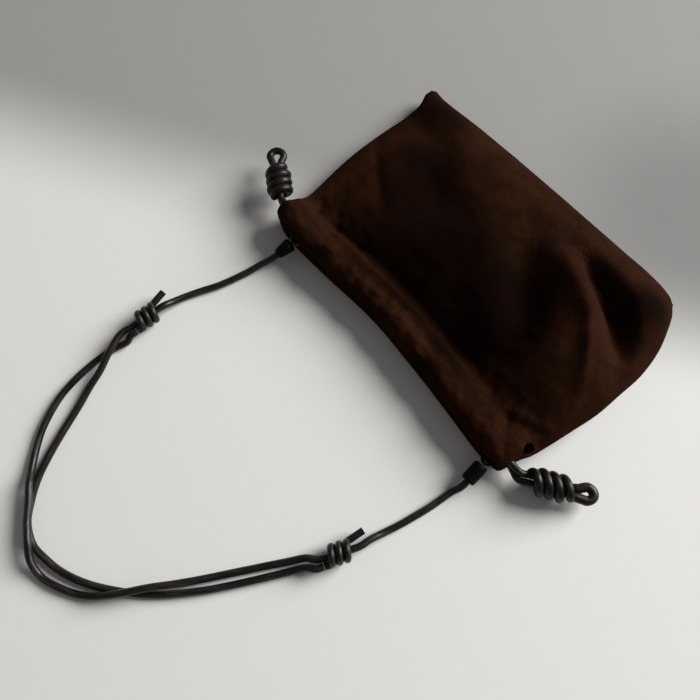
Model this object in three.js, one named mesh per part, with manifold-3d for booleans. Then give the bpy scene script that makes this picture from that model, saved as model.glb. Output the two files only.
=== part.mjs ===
// A suede drawstring bag lying on its back panel, with a strap of two cords laid on the table.
// Millimetres, +Z up. The origin is the middle of the back panel on the table, +X runs along
// the bag's width, and +Y from its mouth to its base.
import * as THREE from 'three';
import { mergeVertices } from 'three/addons/utils/BufferGeometryUtils.js';
import Module from 'manifold-3d';

const wasm = await Module();
wasm.setup();

// Bag
const bagWidth = 240;
const bagLength = 172;
const bagHeight = 42;
const suedeWall = 2;
const sideSeam = 3;
const mouthLift = 4;

// Hem round the mouth, with a channel for the drawcord
const hemWidth = 18;
const hemThickness = 8.6;
const slitHeight = 7;
const channelDiameter = 6;
const channelInset = 8.5;
const punchedHole = 8.4;

// Cords
const clearance = 0.3;
const drawcordDiameter = 5;
const strapCordDiameter = 5;
const cordSides = 8;

// Coil knots on the drawcord
const coilTurns = 5;
const coilPitch = 5.6;
const coilCordDiameter = 4.2;
const endLoopLength = 16;

// Strap fittings
const sleeveLength = 12.5;
const sleeveDiameter = 9.8;
const sleeveBoreDepth = 9;
const eyeDiameter = 6.4;
const eyeWire = 2;
const ringDiameter = 11;
const ringWire = 1.8;
const tabWidth = 3.6;
const tabThickness = 1;
const tabLength = 20;

// Sliding knots on the strap
const knotTurns = 2.5;
const knotTailLength = 12.5;
const knotTailSplay = 3.7;

const colours = { suede: '#2e1a12', cord: '#1c1411', drawcord: '#201613', ring: '#17120f' };

// The outline, seen from above. Each side edge is a share of the half width at a share of the
// length from the mouth to the base.
const sideRows = [
  { at: 0.00, left: 1.010, right: 1.045 },
  { at: 0.05, left: 1.022, right: 1.055 },
  { at: 0.09, left: 0.992, right: 1.073 },
  { at: 0.13, left: 0.972, right: 1.098 },
  { at: 0.20, left: 0.976, right: 1.122 },
  { at: 0.31, left: 0.995, right: 1.152 },
  { at: 0.43, left: 1.008, right: 1.182 },
  { at: 0.55, left: 1.008, right: 1.190 },
  { at: 0.67, left: 0.998, right: 1.195 },
  { at: 0.78, left: 0.985, right: 1.170 },
  { at: 0.88, left: 0.995, right: 1.120 },
  { at: 0.96, left: 1.038, right: 1.070 },
  { at: 1.00, left: 1.050, right: 1.042 },
];

// The mouth and base edges, as shares of the length beyond half the length, at a share of the
// half width from the middle.
const endRows = [
  { at: -1.00, mouth: -0.040, base: 0.000 },
  { at: -0.86, mouth: -0.008, base: -0.014 },
  { at: -0.55, mouth: -0.013, base: -0.006 },
  { at: -0.14, mouth: -0.032, base: -0.002 },
  { at: 0.22, mouth: -0.016, base: -0.002 },
  { at: 0.52, mouth: 0.006, base: -0.001 },
  { at: 0.86, mouth: 0.035, base: 0.000 },
  { at: 1.00, mouth: 0.031, base: -0.016 },
];

// Heights of the body behind the hem at the left, middle and right, with the height of the
// rim where the top and the back panel meet, all as shares of the bag's height.
const heightRows = [
  { at: 0.00, left: 0.56, middle: 0.47, right: 0.50, rimLeft: 0.30, rimRight: 0.30 },
  { at: 0.21, left: 0.57, middle: 0.49, right: 0.62, rimLeft: 0.28, rimRight: 0.32 },
  { at: 0.30, left: 0.60, middle: 0.60, right: 0.78, rimLeft: 0.26, rimRight: 0.36 },
  { at: 0.45, left: 0.64, middle: 0.80, right: 0.94, rimLeft: 0.25, rimRight: 0.41 },
  { at: 0.60, left: 0.64, middle: 0.93, right: 1.00, rimLeft: 0.25, rimRight: 0.44 },
  { at: 0.75, left: 0.60, middle: 0.93, right: 1.00, rimLeft: 0.26, rimRight: 0.45 },
  { at: 0.88, left: 0.54, middle: 0.86, right: 0.94, rimLeft: 0.27, rimRight: 0.45 },
  { at: 1.00, left: 0.44, middle: 0.74, right: 0.80, rimLeft: 0.28, rimRight: 0.45 },
];

// Folds of the top panel. A fold runs from its first point past the middle one to its last, in
// shares of the half width and half length; its breadth is a share of the length and its rise
// a share of the height, negative for a crease.
const foldRows = [
  { from: [-0.80, -0.66], past: [0.00, -0.52], to: [0.80, -0.66], breadth: 0.075, rise: -0.09 },
  { from: [0.25, 0.68], past: [0.85, 0.60], to: [1.02, -0.15], breadth: 0.050, rise: 0.15 },
  { from: [0.42, 0.76], past: [1.00, 0.78], to: [1.12, 0.18], breadth: 0.062, rise: -0.26 },
  { from: [0.22, 0.40], past: [0.55, 0.30], to: [0.72, -0.10], breadth: 0.085, rise: -0.16 },
  { from: [0.74, -0.58], past: [0.90, -0.50], to: [1.06, -0.46], breadth: 0.030, rise: 0.09 },
  { from: [-0.95, 0.80], past: [-0.60, 0.35], to: [-0.15, -0.10], breadth: 0.080, rise: -0.07 },
  { from: [-0.98, 0.10], past: [-0.70, -0.05], to: [-0.45, -0.30], breadth: 0.070, rise: -0.06 },
];

// Gathers pulled into the hem by the drawcord, along the whole mouth. The rise is a share of
// the hem's thickness.
const gatherRows = [
  { waves: 7, phase: 0.4, rise: 0.085 },
  { waves: 11, phase: 1.9, rise: 0.065 },
];

const halfWidth = bagWidth / 2;
const halfLength = bagLength / 2;
const mouthHeight = hemThickness + slitHeight / 2;
const hemShare = hemWidth / bagLength;
const channelShare = channelInset / bagLength;

// A value of a table's column between its rows, as a smooth curve through them
function column(rows, name, at) {
  const last = rows.length - 1;
  let row = 0;
  while (row < last - 1 && at > rows[row + 1].at) row += 1;
  const slope = (index) => {
    const before = rows[Math.max(index - 1, 0)];
    const after = rows[Math.min(index + 1, last)];
    return (after[name] - before[name]) / (after.at - before.at);
  };
  const span = rows[row + 1].at - rows[row].at;
  const part = THREE.MathUtils.clamp((at - rows[row].at) / span, 0, 1);
  const part2 = part * part;
  const part3 = part2 * part;
  return rows[row][name] * (2 * part3 - 3 * part2 + 1)
    + slope(row) * span * (part3 - 2 * part2 + part)
    + rows[row + 1][name] * (3 * part2 - 2 * part3)
    + slope(row + 1) * span * (part3 - part2);
}

function acrossWidth(left, middle, right, across) {
  return middle + (right - left) / 2 * across + ((left + right) / 2 - middle) * across ** 2;
}

// 1 up to the start of the rounding, then down a quarter of an ellipse to 0 at 1
function rounding(position, start) {
  const part = Math.max(0, (Math.abs(position) - start) / (1 - start));
  return Math.sqrt(Math.max(0, 1 - part * part));
}

// The place in plan of a share across the width (-1 to 1) and along the length (0 to 1)
function plan(across, along) {
  const left = -halfWidth * column(sideRows, 'left', along);
  const right = halfWidth * column(sideRows, 'right', along);
  const x = left + (right - left) * (across + 1) / 2;
  const mouth = -halfLength - bagLength * column(endRows, 'mouth', across);
  const base = halfLength + bagLength * column(endRows, 'base', across);
  return [x, mouth + (base - mouth) * along];
}

// How far the underside is lifted off the table towards the left end of the mouth
function lift(across, along) {
  const sideways = THREE.MathUtils.smoothstep(-across, 0.15, 1);
  const lengthways = 1 - THREE.MathUtils.smoothstep(along, 0.05, 0.5);
  return mouthLift * sideways * lengthways;
}

// 0 on the hem, 1 on the body behind it
function behindHem(along) {
  return THREE.MathUtils.smoothstep(along, hemShare, hemShare + 0.08);
}

function rimHeight(across, along) {
  const rimLeft = column(heightRows, 'rimLeft', along);
  const rimRight = column(heightRows, 'rimRight', along);
  const body = bagHeight * (rimLeft + (rimRight - rimLeft) * (across + 1) / 2);
  const hem = mouthHeight + lift(across, along);
  return hem + (body - hem) * behindHem(along);
}

function fold(row, x, y) {
  const near = { distance: Infinity, part: 0 };
  const steps = 24;
  for (let step = 0; step <= steps; step += 1) {
    const part = step / steps;
    const weights = [(1 - part) ** 2, 2 * part * (1 - part), part ** 2];
    const points = [row.from, row.past, row.to];
    const curveX = halfWidth * points.reduce((sum, point, index) => sum + point[0] * weights[index], 0);
    const curveY = halfLength * points.reduce((sum, point, index) => sum + point[1] * weights[index], 0);
    const distance = Math.hypot(x - curveX, y - curveY);
    if (distance < near.distance) Object.assign(near, { distance, part });
  }
  const taper = Math.sin(Math.PI * THREE.MathUtils.clamp(near.part, 0.04, 0.96)) ** 0.7;
  return bagHeight * row.rise * taper * Math.exp(-((near.distance / (bagLength * row.breadth)) ** 2));
}

function gathers(across, along) {
  const waves = gatherRows.reduce(
    (sum, row) => sum + row.rise * Math.sin(Math.PI * row.waves * across + row.phase), 0);
  return hemThickness * waves * Math.exp(-((along / (1.6 * hemShare)) ** 2));
}

// Height of the top panel above the rim
function topRise(across, along) {
  const [x, y] = plan(across, along);
  const rim = rimHeight(across, along);
  const [left, middle, right] = ['left', 'middle', 'right'].map((name) => column(heightRows, name, along));
  const folds = foldRows.reduce((sum, row) => sum + fold(row, x, y), 0);
  const body = bagHeight * acrossWidth(left, middle, right, across) + folds - rim;
  const hem = slitHeight / 2 + hemThickness;
  const blend = behindHem(along);
  const side = THREE.MathUtils.lerp(0.93, across < 0 ? 0.55 : 0.72, blend);
  const rise = THREE.MathUtils.lerp(hem, body, blend) + gathers(across, along);
  return rise * rounding(across, side) * rounding(along, 0.80);
}

// Depth of the back panel below the rim
function backDrop(across, along) {
  const depth = rimHeight(across, along) - lift(across, along);
  return depth * rounding(across, 0.93) * rounding(along, 0.93);
}

function halfGap(side, across, along) {
  const outer = side > 0 ? topRise(across, along) : backDrop(across, along);
  const body = Math.max(outer - suedeWall, suedeWall / 4);
  return THREE.MathUtils.lerp(slitHeight / 2, body, behindHem(along));
}

// A point of the shell. side is 1 on the top and -1 on the back, and depth goes from 0 on the
// outside to 1 on the inside.
function shellPoint(side, across, along, depth) {
  const seam = 1 - depth * sideSeam / halfWidth;
  const inset = across * seam;
  const [x, y] = plan(inset, along);
  const outer = side > 0 ? topRise(inset, along) : backDrop(inset, along);
  const innerEdge = rounding(across, 0.9) * rounding(along / innerBase, 0.96);
  const rise = THREE.MathUtils.lerp(outer, halfGap(side, inset, along) * innerEdge, depth);
  const edge = Math.abs(across) === 1 ? 0 : rise;
  return [x, y, rimHeight(inset, along) + side * edge];
}

// The rings of the shell, from the outside of the base to the mouth, round the lip, and back
// along the inside. along is the share of the length, and depth as above.
const innerBase = 1 - sideSeam / bagLength;
const outerRings = [1, 0.99, 0.965, 0.93, 0.885, 0.83, 0.77, 0.7, 0.63, 0.56, 0.49, 0.42, 0.355, 0.3,
  0.25, 0.205, 0.17, 0.14, 0.11, 0.085, 0.06, 0.035].map((along) => ({ along, depth: 0 }));
const lipRings = [
  { along: 0.012, depth: 0.10 },
  { along: 0.000, depth: 0.35 },
  { along: 0.000, depth: 0.65 },
  { along: 0.010, depth: 0.92 },
];
const innerRings = [0.035, 0.10, 0.14, 0.18, 0.23, 0.32, 0.43, 0.55, 0.68, 0.8, 0.9, 0.96, innerBase]
  .map((along) => ({ along, depth: 1 }));

const topColumns = 38;
const backColumns = 16;
const innerColumns = 18;

// Shares across the width, closer together towards the side edges
function spread(columns) {
  const places = [];
  for (let index = 0; index <= columns; index += 1) {
    const even = 2 * index / columns - 1;
    places.push(0.6 * even + 0.4 * Math.sin(Math.PI / 2 * even));
  }
  places[0] = -1;
  places[columns] = 1;
  return places;
}

// Triangles between two rows of points that run the same way, with any number in each
function zipRows(first, second, triangles) {
  let one = 0;
  let two = 0;
  while (one < first.length - 1 || two < second.length - 1) {
    const nextOne = one < first.length - 1 ? first[one + 1].across : Infinity;
    const nextTwo = two < second.length - 1 ? second[two + 1].across : Infinity;
    if (nextOne <= nextTwo) {
      triangles.push([first[one].index, first[one + 1].index, second[two].index]);
      one += 1;
    } else {
      triangles.push([first[one].index, second[two + 1].index, second[two].index]);
      two += 1;
    }
  }
}

function geometryOf(points, triangles) {
  const geometry = new THREE.BufferGeometry();
  geometry.setAttribute('position', new THREE.Float32BufferAttribute(points.flat(), 3));
  const solid = triangles.filter(([a, b, c]) => a !== b && b !== c && a !== c);
  geometry.setIndex(solid.flat());
  return geometry;
}

// One row of points of a ring's top or back. Its ends are shared by the top and the back.
function ringRow(side, ring, columns, points, ends) {
  return spread(columns).map((across, column) => {
    const end = column === 0 ? 0 : column === columns ? 1 : -1;
    if (end >= 0 && ends[end] !== undefined) return { across, index: ends[end] };
    points.push(shellPoint(side, across, ring.along, ring.depth));
    if (end >= 0) ends[end] = points.length - 1;
    return { across, index: points.length - 1 };
  });
}

function shellGeometry() {
  const points = [];
  const triangles = [];
  const rings = [...outerRings, ...lipRings, ...innerRings].map((ring, place, all) => {
    const closing = place === 0 || place === all.length - 1;
    const ends = [];
    const top = ringRow(1, ring, ring.depth === 1 ? innerColumns : topColumns, points, ends);
    const back = closing ? top : ringRow(-1, ring, ring.depth === 1 ? innerColumns : backColumns, points, ends);
    return { top, back };
  });
  for (let place = 1; place < rings.length; place += 1) {
    zipRows(rings[place].top, rings[place - 1].top, triangles);
    zipRows(rings[place - 1].back, rings[place].back, triangles);
  }
  return geometryOf(points, triangles);
}

function solidOf(geometry) {
  const bare = geometry.clone();
  bare.deleteAttribute('normal');
  bare.deleteAttribute('uv');
  const merged = mergeVertices(bare, 1e-4);
  return new wasm.Manifold(new wasm.Mesh({
    numProp: 3,
    vertProperties: new Float32Array(merged.attributes.position.array),
    triVerts: new Uint32Array(merged.index.array),
  }));
}

function geometryOfSolid(solid) {
  const mesh = solid.getMesh();
  const geometry = new THREE.BufferGeometry();
  geometry.setAttribute('position', new THREE.BufferAttribute(mesh.vertProperties, 3));
  geometry.setIndex(new THREE.BufferAttribute(mesh.triVerts, 1));
  geometry.computeVertexNormals();
  return geometry;
}

function vector(x, y, z) {
  return new THREE.Vector3(x, y, z);
}

// Places along a curve, a step apart where it is straight and closer where it turns
function stations(curve, longest, turn) {
  const fine = curve.getSpacedPoints(Math.ceil(curve.getLength() / 1.2));
  const kept = [fine[0]];
  let turned = 0;
  for (let index = 1; index < fine.length - 1; index += 1) {
    const before = fine[index].clone().sub(fine[index - 1]);
    const after = fine[index + 1].clone().sub(fine[index]);
    turned += THREE.MathUtils.radToDeg(before.angleTo(after));
    const far = fine[index].distanceTo(kept[kept.length - 1]);
    if (far > longest || (turned > turn && far > longest / 8)) {
      kept.push(fine[index]);
      turned = 0;
    }
  }
  if (kept.length > 1 && fine[fine.length - 1].distanceTo(kept[kept.length - 1]) < longest / 8) kept.pop();
  kept.push(fine[fine.length - 1]);
  return kept;
}

// The middles of a cord's rings, along a smooth curve through points
function cordCentres(points, longest, turn = 24) {
  return stations(new THREE.CatmullRomCurve3(points, false, 'centripetal'), longest, turn);
}

// A round cord with flat ends. Each ring of corners is turned from the one before it by the
// least turn, so that the cord has no twist.
function cordGeometry(centres, diameter) {
  const corners = [];
  const triangles = [];
  let across = null;
  let before = null;
  centres.forEach((centre, index) => {
    const ahead = centres[Math.min(index + 1, centres.length - 1)];
    const behind = centres[Math.max(index - 1, 0)];
    const tangent = ahead.clone().sub(behind).normalize();
    if (across === null) {
      across = vector(0, 0, 1).cross(tangent).normalize();
    } else {
      across.applyQuaternion(new THREE.Quaternion().setFromUnitVectors(before, tangent));
    }
    const upward = tangent.clone().cross(across);
    for (let side = 0; side < cordSides; side += 1) {
      const angle = 2 * Math.PI * (side + 0.5) / cordSides;
      const corner = centre.clone()
        .addScaledVector(across, diameter / 2 * Math.cos(angle))
        .addScaledVector(upward, diameter / 2 * Math.sin(angle));
      corners.push(corner.toArray());
      if (index > 0) {
        const here = index * cordSides + side;
        const next = index * cordSides + (side + 1) % cordSides;
        triangles.push([here - cordSides, next - cordSides, next], [here - cordSides, next, here]);
      }
    }
    before = tangent;
  });
  const last = (centres.length - 1) * cordSides;
  for (let side = 1; side < cordSides - 1; side += 1) {
    triangles.push([0, side + 1, side], [last, last + side, last + side + 1]);
  }
  return geometryOf(corners, triangles);
}

// Middle of the drawcord in the hem. side is 1 in the top hem and -1 in the back hem. The two
// channels come together at the ends of the mouth.
function channelPoint(side, across) {
  const [x, y] = plan(across, channelShare);
  const apart = slitHeight / 2 + hemThickness / 2;
  const together = channelDiameter / 2 + clearance;
  const closing = THREE.MathUtils.smoothstep(Math.abs(across), 0.90, 1);
  const offset = THREE.MathUtils.lerp(apart, together, closing);
  return vector(x, y, rimHeight(across, channelShare) + side * offset);
}

// How the drawcord's two strands run from each end of the hem, with headings in degrees from
// +X: along the neck to the coil knot, through the coil, and round the loop at its end. The
// roll is how far the pair is turned about the coil's axis as it enters.
const drawcordEnds = [
  {
    name: 'left', across: -1, neck: 3.6, neckHeading: 168, roll: -90,
    coilHeight: 17, coilHeading: 146, loopHeading: 142, loopWidth: 15.4,
  },
  {
    name: 'right', across: 1, neck: 17, neckHeading: 12.5, roll: 0,
    coilHeight: 10.8, coilHeading: 31.5, loopHeading: 39, loopWidth: 14,
  },
];

const coilLength = coilTurns * coilPitch;
const coilBore = 2 * drawcordDiameter + 4 * clearance;

function heading(degrees) {
  const angle = THREE.MathUtils.degToRad(degrees);
  return vector(Math.cos(angle), Math.sin(angle), 0);
}

function leftOf(direction) {
  return vector(-direction.y, direction.x, 0);
}

// The start and end of a coil knot's axis, with its direction
function coilAxis(end) {
  const mouthEnd = channelPoint(1, end.across).add(channelPoint(-1, end.across)).multiplyScalar(0.5);
  const start = mouthEnd.addScaledVector(heading(end.neckHeading), end.neck);
  start.z = end.coilHeight;
  const along = heading(end.coilHeading);
  return { start, along, end: start.clone().addScaledVector(along, coilLength) };
}

// One strand's places from the start of the coil to the side of the end loop. side is 1 for
// the strand from the top hem and -1 for the one from the back hem.
function strandPoints(end, side) {
  const axis = coilAxis(end);
  const loopAlong = heading(end.loopHeading);
  const strand = drawcordDiameter / 2 + clearance / 2;
  const loop = (end.loopWidth - drawcordDiameter) / 2;
  const reach = endLoopLength - drawcordDiameter / 2;
  const places = [0, 0.25, 0.5, 0.75, 1].map((share) => ({
    from: axis.start, direction: axis.along, along: share * coilLength, out: strand,
    roll: end.roll * (1 - THREE.MathUtils.smoothstep(share, 0, 0.75)),
  }));
  places.push(
    { from: axis.end, direction: axis.along, along: drawcordDiameter / 2, out: 1.1 * strand, roll: 0 },
    { from: axis.end, direction: loopAlong, along: 0.50 * reach, out: 0.90 * loop, roll: 0 },
    { from: axis.end, direction: loopAlong, along: 0.68 * reach, out: loop, roll: 0 },
    { from: axis.end, direction: loopAlong, along: 0.92 * reach, out: 0.6 * loop, roll: 0 },
  );
  return places.map((place) => {
    const outward = leftOf(place.direction)
      .applyAxisAngle(place.direction, THREE.MathUtils.degToRad(place.roll));
    return place.from.clone()
      .addScaledVector(place.direction, place.along)
      .addScaledVector(outward, side * end.across * place.out);
  });
}

function loopTip(end) {
  return coilAxis(end).end.addScaledVector(heading(end.loopHeading), endLoopLength - drawcordDiameter / 2);
}

const hemPlaces = [-1, -0.94, -0.86, -0.7, -0.5, -0.25, 0, 0.25, 0.5, 0.7, 0.86, 0.94, 1];

function hemStrand(side) {
  return hemPlaces.map((across) => channelPoint(side, across));
}

// One cord runs through the top hem and the back hem. Its two ends meet inside the right coil.
function drawcordPoints() {
  const [left, right] = drawcordEnds;
  const rightBack = strandPoints(right, -1);
  const leftBack = strandPoints(left, -1);
  const leftTop = strandPoints(left, 1);
  const rightTop = strandPoints(right, 1);
  const meeting = coilAxis(right).along.multiplyScalar(clearance);
  return [
    rightBack[2].clone().sub(meeting), rightBack[1], rightBack[0],
    ...hemStrand(-1).reverse(),
    ...leftBack, loopTip(left), ...leftTop.reverse(),
    ...hemStrand(1),
    ...rightTop, loopTip(right), ...rightBack.slice(3).reverse(), rightBack[2].clone().add(meeting),
  ];
}

const drawcordCentres = cordCentres(drawcordPoints(), 3 * drawcordDiameter);

// The channels through the back hem and the top hem, open at both ends of the mouth
function channelSolids() {
  const [leftStart, rightStart] = drawcordEnds.map((end) => coilAxis(end).start.x);
  const leftmost = Math.min(...drawcordCentres.map((centre) => centre.x));
  const turn = drawcordCentres.findIndex((centre) => centre.x === leftmost);
  const inHem = (centre) => centre.x > leftStart && centre.x < rightStart;
  const strands = [drawcordCentres.slice(0, turn), drawcordCentres.slice(turn)];
  return strands.map((strand) => solidOf(cordGeometry(strand.filter(inHem), channelDiameter)));
}

const punchedHoleAt = { across: 0.955, along: 0.132 };

function pouchGeometry() {
  const [x, y] = plan(punchedHoleAt.across, punchedHoleAt.along);
  const punch = new THREE.CylinderGeometry(punchedHole / 2, punchedHole / 2, 2 * bagHeight, 16);
  punch.rotateX(Math.PI / 2);
  punch.translate(x, y, bagHeight / 2);
  const cuts = [...channelSolids(), solidOf(punch)];
  return geometryOfSolid(cuts.reduce((shell, cut) => shell.subtract(cut), solidOf(shellGeometry())));
}

// A coil knot, its turns as round ribs about the bore that holds both strands
function coilGeometry() {
  const bore = coilBore / 2;
  const middle = bore + coilCordDiameter / 2;
  const profile = [new THREE.Vector2(bore, 0)];
  for (let turn = 0; turn < coilTurns; turn += 1) {
    const barrel = turn === 0 || turn === coilTurns - 1 ? 0.5 : 0;
    for (let corner = 0; corner <= 4; corner += 1) {
      const angle = Math.PI * (corner / 4 - 0.5);
      const radius = middle - barrel + coilCordDiameter / 2 * Math.cos(angle);
      const along = coilPitch * (turn + 0.5 + Math.sin(angle) / 2);
      if (corner > 0 || turn === 0) profile.push(new THREE.Vector2(radius, along));
    }
  }
  profile.push(new THREE.Vector2(bore, coilLength), new THREE.Vector2(bore, 0));
  return new THREE.LatheGeometry(profile, 14);
}

// Where the strap's fittings leave the mouth, with the heading of the sleeve from the lip in
// degrees from +X, its fall towards the table, and how far it is pulled out of the slit
const strapEnds = [
  { name: 'left', across: -0.78, heading: 258.6, fall: 24, pulled: 0 },
  { name: 'right', across: 0.905, heading: 274, fall: 13, pulled: 3.4 },
];

const eyeRadius = (eyeDiameter - eyeWire) / 2;
const eyeReach = ringWire / 2 + 2 * clearance;
const ringRadius = (ringDiameter - ringWire) / 2;

// The ring in the slit and the two ends of the sleeve, which starts just outside the lip
function fittingPlaces(end) {
  const [x, y] = plan(end.across, 0);
  const outward = heading(end.heading).multiplyScalar(Math.cos(THREE.MathUtils.degToRad(end.fall)));
  outward.z = -Math.sin(THREE.MathUtils.degToRad(end.fall));
  const lean = Math.hypot(outward.x, outward.z);
  const away = end.pulled + sleeveDiameter / 2 * lean + 2 * clearance + eyeReach * outward.y;
  const eye = vector(x, y - away, rimHeight(end.across, 0));
  const ring = eye.clone().add(vector(0, ringRadius, 0));
  const inner = eye.clone().addScaledVector(outward, eyeReach);
  return { ring, outward, inner, outer: inner.clone().addScaledVector(outward, sleeveLength) };
}

// A leather sleeve with a blind bore for the cord at its outer end and an eye at its inner end
function sleeveGeometry() {
  const radius = sleeveDiameter / 2;
  const bore = strapCordDiameter / 2 + clearance;
  const rounded = 0.14 * sleeveDiameter;
  const profile = [
    [0, 0], [radius - rounded, 0], [radius, rounded], [radius, sleeveLength - rounded],
    [radius - rounded, sleeveLength], [bore, sleeveLength], [bore, sleeveLength - sleeveBoreDepth],
    [0, sleeveLength - sleeveBoreDepth],
  ].map((point) => new THREE.Vector2(...point));
  const body = new THREE.LatheGeometry(profile, 14);
  body.rotateX(Math.PI / 2);
  const eye = new THREE.TorusGeometry(eyeRadius, eyeWire / 2, 6, 14);
  eye.rotateY(Math.PI / 2);
  eye.translate(0, 0, -eyeReach);
  return geometryOfSolid(solidOf(body).add(solidOf(eye)));
}

// A strip folded round the ring, its two layers sewn together behind it
function tabGeometry() {
  const hole = ringWire / 2 + 2 * clearance;
  const outer = hole + tabThickness;
  const half = tabThickness + clearance / 2;
  const meet = Math.asin(half / outer);
  const shape = new THREE.Shape();
  shape.moveTo(tabLength, half);
  shape.absarc(0, 0, outer, meet, 2 * Math.PI - meet, false);
  shape.lineTo(tabLength, -half);
  shape.closePath();
  const opening = new THREE.Path();
  opening.absarc(0, 0, hole, 0, 2 * Math.PI, true);
  shape.holes.push(opening);
  const geometry = new THREE.ExtrudeGeometry(shape, { depth: tabWidth, curveSegments: 12, bevelEnabled: false });
  geometry.translate(0, 0, -tabWidth / 2);
  return geometry;
}

const knotPitch = strapCordDiameter + clearance;
const knotRadius = strapCordDiameter + 1.3 * clearance;
const knotHalf = knotTurns * knotPitch / 2;
const knotHeight = knotRadius + strapCordDiameter / 2 + clearance;

// The two sliding knots, with the heading of the cord that runs through each, away from the
// sleeve beside it
const knots = [
  { name: 'left', middle: [-122.4, -200.6], heading: 265 },
  { name: 'right', middle: [92.4, -206.2], heading: 245 },
];

// A place beside a knot's middle: along the cord that runs through it, to its left, and up
function besideKnot(knot, along, left, up) {
  const direction = heading(knot.heading);
  return vector(...knot.middle, knotHeight)
    .addScaledVector(direction, along)
    .addScaledVector(leftOf(direction), left)
    .add(vector(0, 0, up));
}

// The cord wound round the one that runs through, from the side of the table loop to its tail
function knotPoints(knot) {
  const corners = Math.round(8 * knotTurns);
  const points = [besideKnot(knot, knotHalf + strapCordDiameter, knotRadius, 0)];
  for (let corner = 0; corner <= corners; corner += 1) {
    const angle = 2 * Math.PI * knotTurns * corner / corners;
    const along = knotHalf * (1 - 2 * corner / corners);
    points.push(besideKnot(knot, along, knotRadius * Math.cos(angle), knotRadius * Math.sin(angle)));
  }
  const splay = knotRadius + knotTailSplay;
  points.push(besideKnot(knot, -knotHalf - knotTailLength / 2, -(knotRadius + splay) / 2, 0));
  points.push(besideKnot(knot, -knotHalf - knotTailLength, -splay, 0));
  return points;
}

// The strap's two cords as they lie, as [x, y, z] chosen by hand. Each runs from its sleeve
// through the knot beside it, round the loop on the table, and to the other knot.
const floor = strapCordDiameter / 2 + 0.1;
const over = floor + strapCordDiameter + clearance;
const routes = {
  left: {
    toKnot: [
      [-101.0, -114.1, 4.4], [-102.8, -122.1, 3.1], [-105.0, -131.0, floor], [-109.1, -145.7, floor],
      [-114.9, -159.9, floor], [-119.0, -171.0, floor], [-120.6, -179.6, 4.8],
    ],
    fromKnot: [
      [-124.2, -223.0, 8.8], [-119.1, -236.7, 8.3], [-112.8, -250.3, 6.4], [-109.3, -262.8, 3.6],
      [-104.0, -275.5, floor], [-94.4, -299.2, floor], [-87.2, -315.0, floor], [-80.2, -327.6, floor],
      [-71.8, -338.2, floor], [-61.0, -348.6, floor], [-46.7, -354.0, floor], [-33.6, -352.9, floor],
      [-20.7, -349.9, floor], [-4.2, -342.3, floor], [12.6, -330.5, floor], [30.0, -314.8, floor],
      [49.6, -289.6, floor], [69.8, -255.8, floor], [79.4, -238.3, 3.2], [84.6, -228.9, 5.8],
    ],
  },
  right: {
    toKnot: [
      [113.2, -123.6, 3.3], [111.9, -132.9, floor], [110.7, -141.1, floor], [108.3, -152.7, floor],
      [105.7, -164.1, floor], [102.5, -175.2, 3.4], [99.7, -184.9, 6.4],
    ],
    fromKnot: [
      [80.2, -224.6, 6.4], [74.0, -234.8, 3.4], [64.3, -251.0, floor], [54.2, -268.1, floor],
      [44.2, -285.0, 3.4], [35.0, -299.6, 6.8], [27.0, -311.4, over], [15.6, -330.2, over],
      [7.0, -342.1, 5.0], [-3.7, -351.4, floor], [-16.7, -358.3, floor], [-27.0, -361.6, floor],
      [-38.8, -359.8, 6.4], [-47.6, -354.6, 8.3], [-59.6, -347.1, 8.1], [-71.3, -337.9, 8.1],
      [-78.8, -332.6, 8.0], [-88.1, -326.2, 4.2], [-97.9, -316.7, floor], [-107.4, -304.4, floor],
      [-117.5, -283.1, floor], [-121.4, -263.4, floor], [-122.2, -245.2, floor], [-121.0, -232.0, floor],
      [-118.2, -223.2, 4.5],
    ],
  },
};

// From inside the sleeve's bore, straight out of it, through the knot, and up to the other one
function strapPoints(index) {
  const places = fittingPlaces(strapEnds[index]);
  const route = routes[strapEnds[index].name];
  const own = knots[index];
  const other = knots[1 - index];
  const straight = knotHalf + 1.4 * strapCordDiameter;
  const end = knotHalf + strapCordDiameter + 2 * clearance;
  return [
    places.outer.clone().addScaledVector(places.outward, clearance - sleeveBoreDepth),
    places.outer.clone().addScaledVector(places.outward, strapCordDiameter),
    ...route.toKnot.map((point) => vector(...point)),
    besideKnot(own, -straight, 0, 0), besideKnot(own, 0, 0, 0), besideKnot(own, straight, 0, 0),
    ...route.fromKnot.map((point) => vector(...point)),
    besideKnot(other, end + strapCordDiameter, knotRadius, 0), besideKnot(other, end, knotRadius, 0),
  ];
}

const materials = {
  suede: () => new THREE.MeshStandardMaterial({ color: colours.suede, roughness: 0.95, metalness: 0 }),
  cord: () => new THREE.MeshStandardMaterial({ color: colours.cord, roughness: 0.45, metalness: 0 }),
  drawcord: () => new THREE.MeshStandardMaterial({ color: colours.drawcord, roughness: 0.4, metalness: 0 }),
  ring: () => new THREE.MeshStandardMaterial({ color: colours.ring, roughness: 0.25, metalness: 0.8 }),
};

const group = new THREE.Group();

function place(name, geometry, material, origin, alongZ) {
  const mesh = new THREE.Mesh(geometry, materials[material]());
  mesh.name = name;
  if (alongZ) {
    const sideways = vector(-alongZ.y, alongZ.x, 0).normalize();
    const basis = new THREE.Matrix4().makeBasis(sideways, alongZ.clone().cross(sideways), alongZ);
    mesh.quaternion.setFromRotationMatrix(basis);
  }
  if (origin) mesh.position.copy(origin);
  group.add(mesh);
}

place('pouch', pouchGeometry(), 'suede');
place('drawcord', cordGeometry(drawcordCentres, drawcordDiameter), 'drawcord');

drawcordEnds.forEach((end) => {
  const axis = coilAxis(end);
  const geometry = coilGeometry();
  geometry.rotateX(Math.PI / 2);
  place(`coil_knot_${end.name}`, geometry, 'drawcord', axis.start, axis.along);
});

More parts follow.
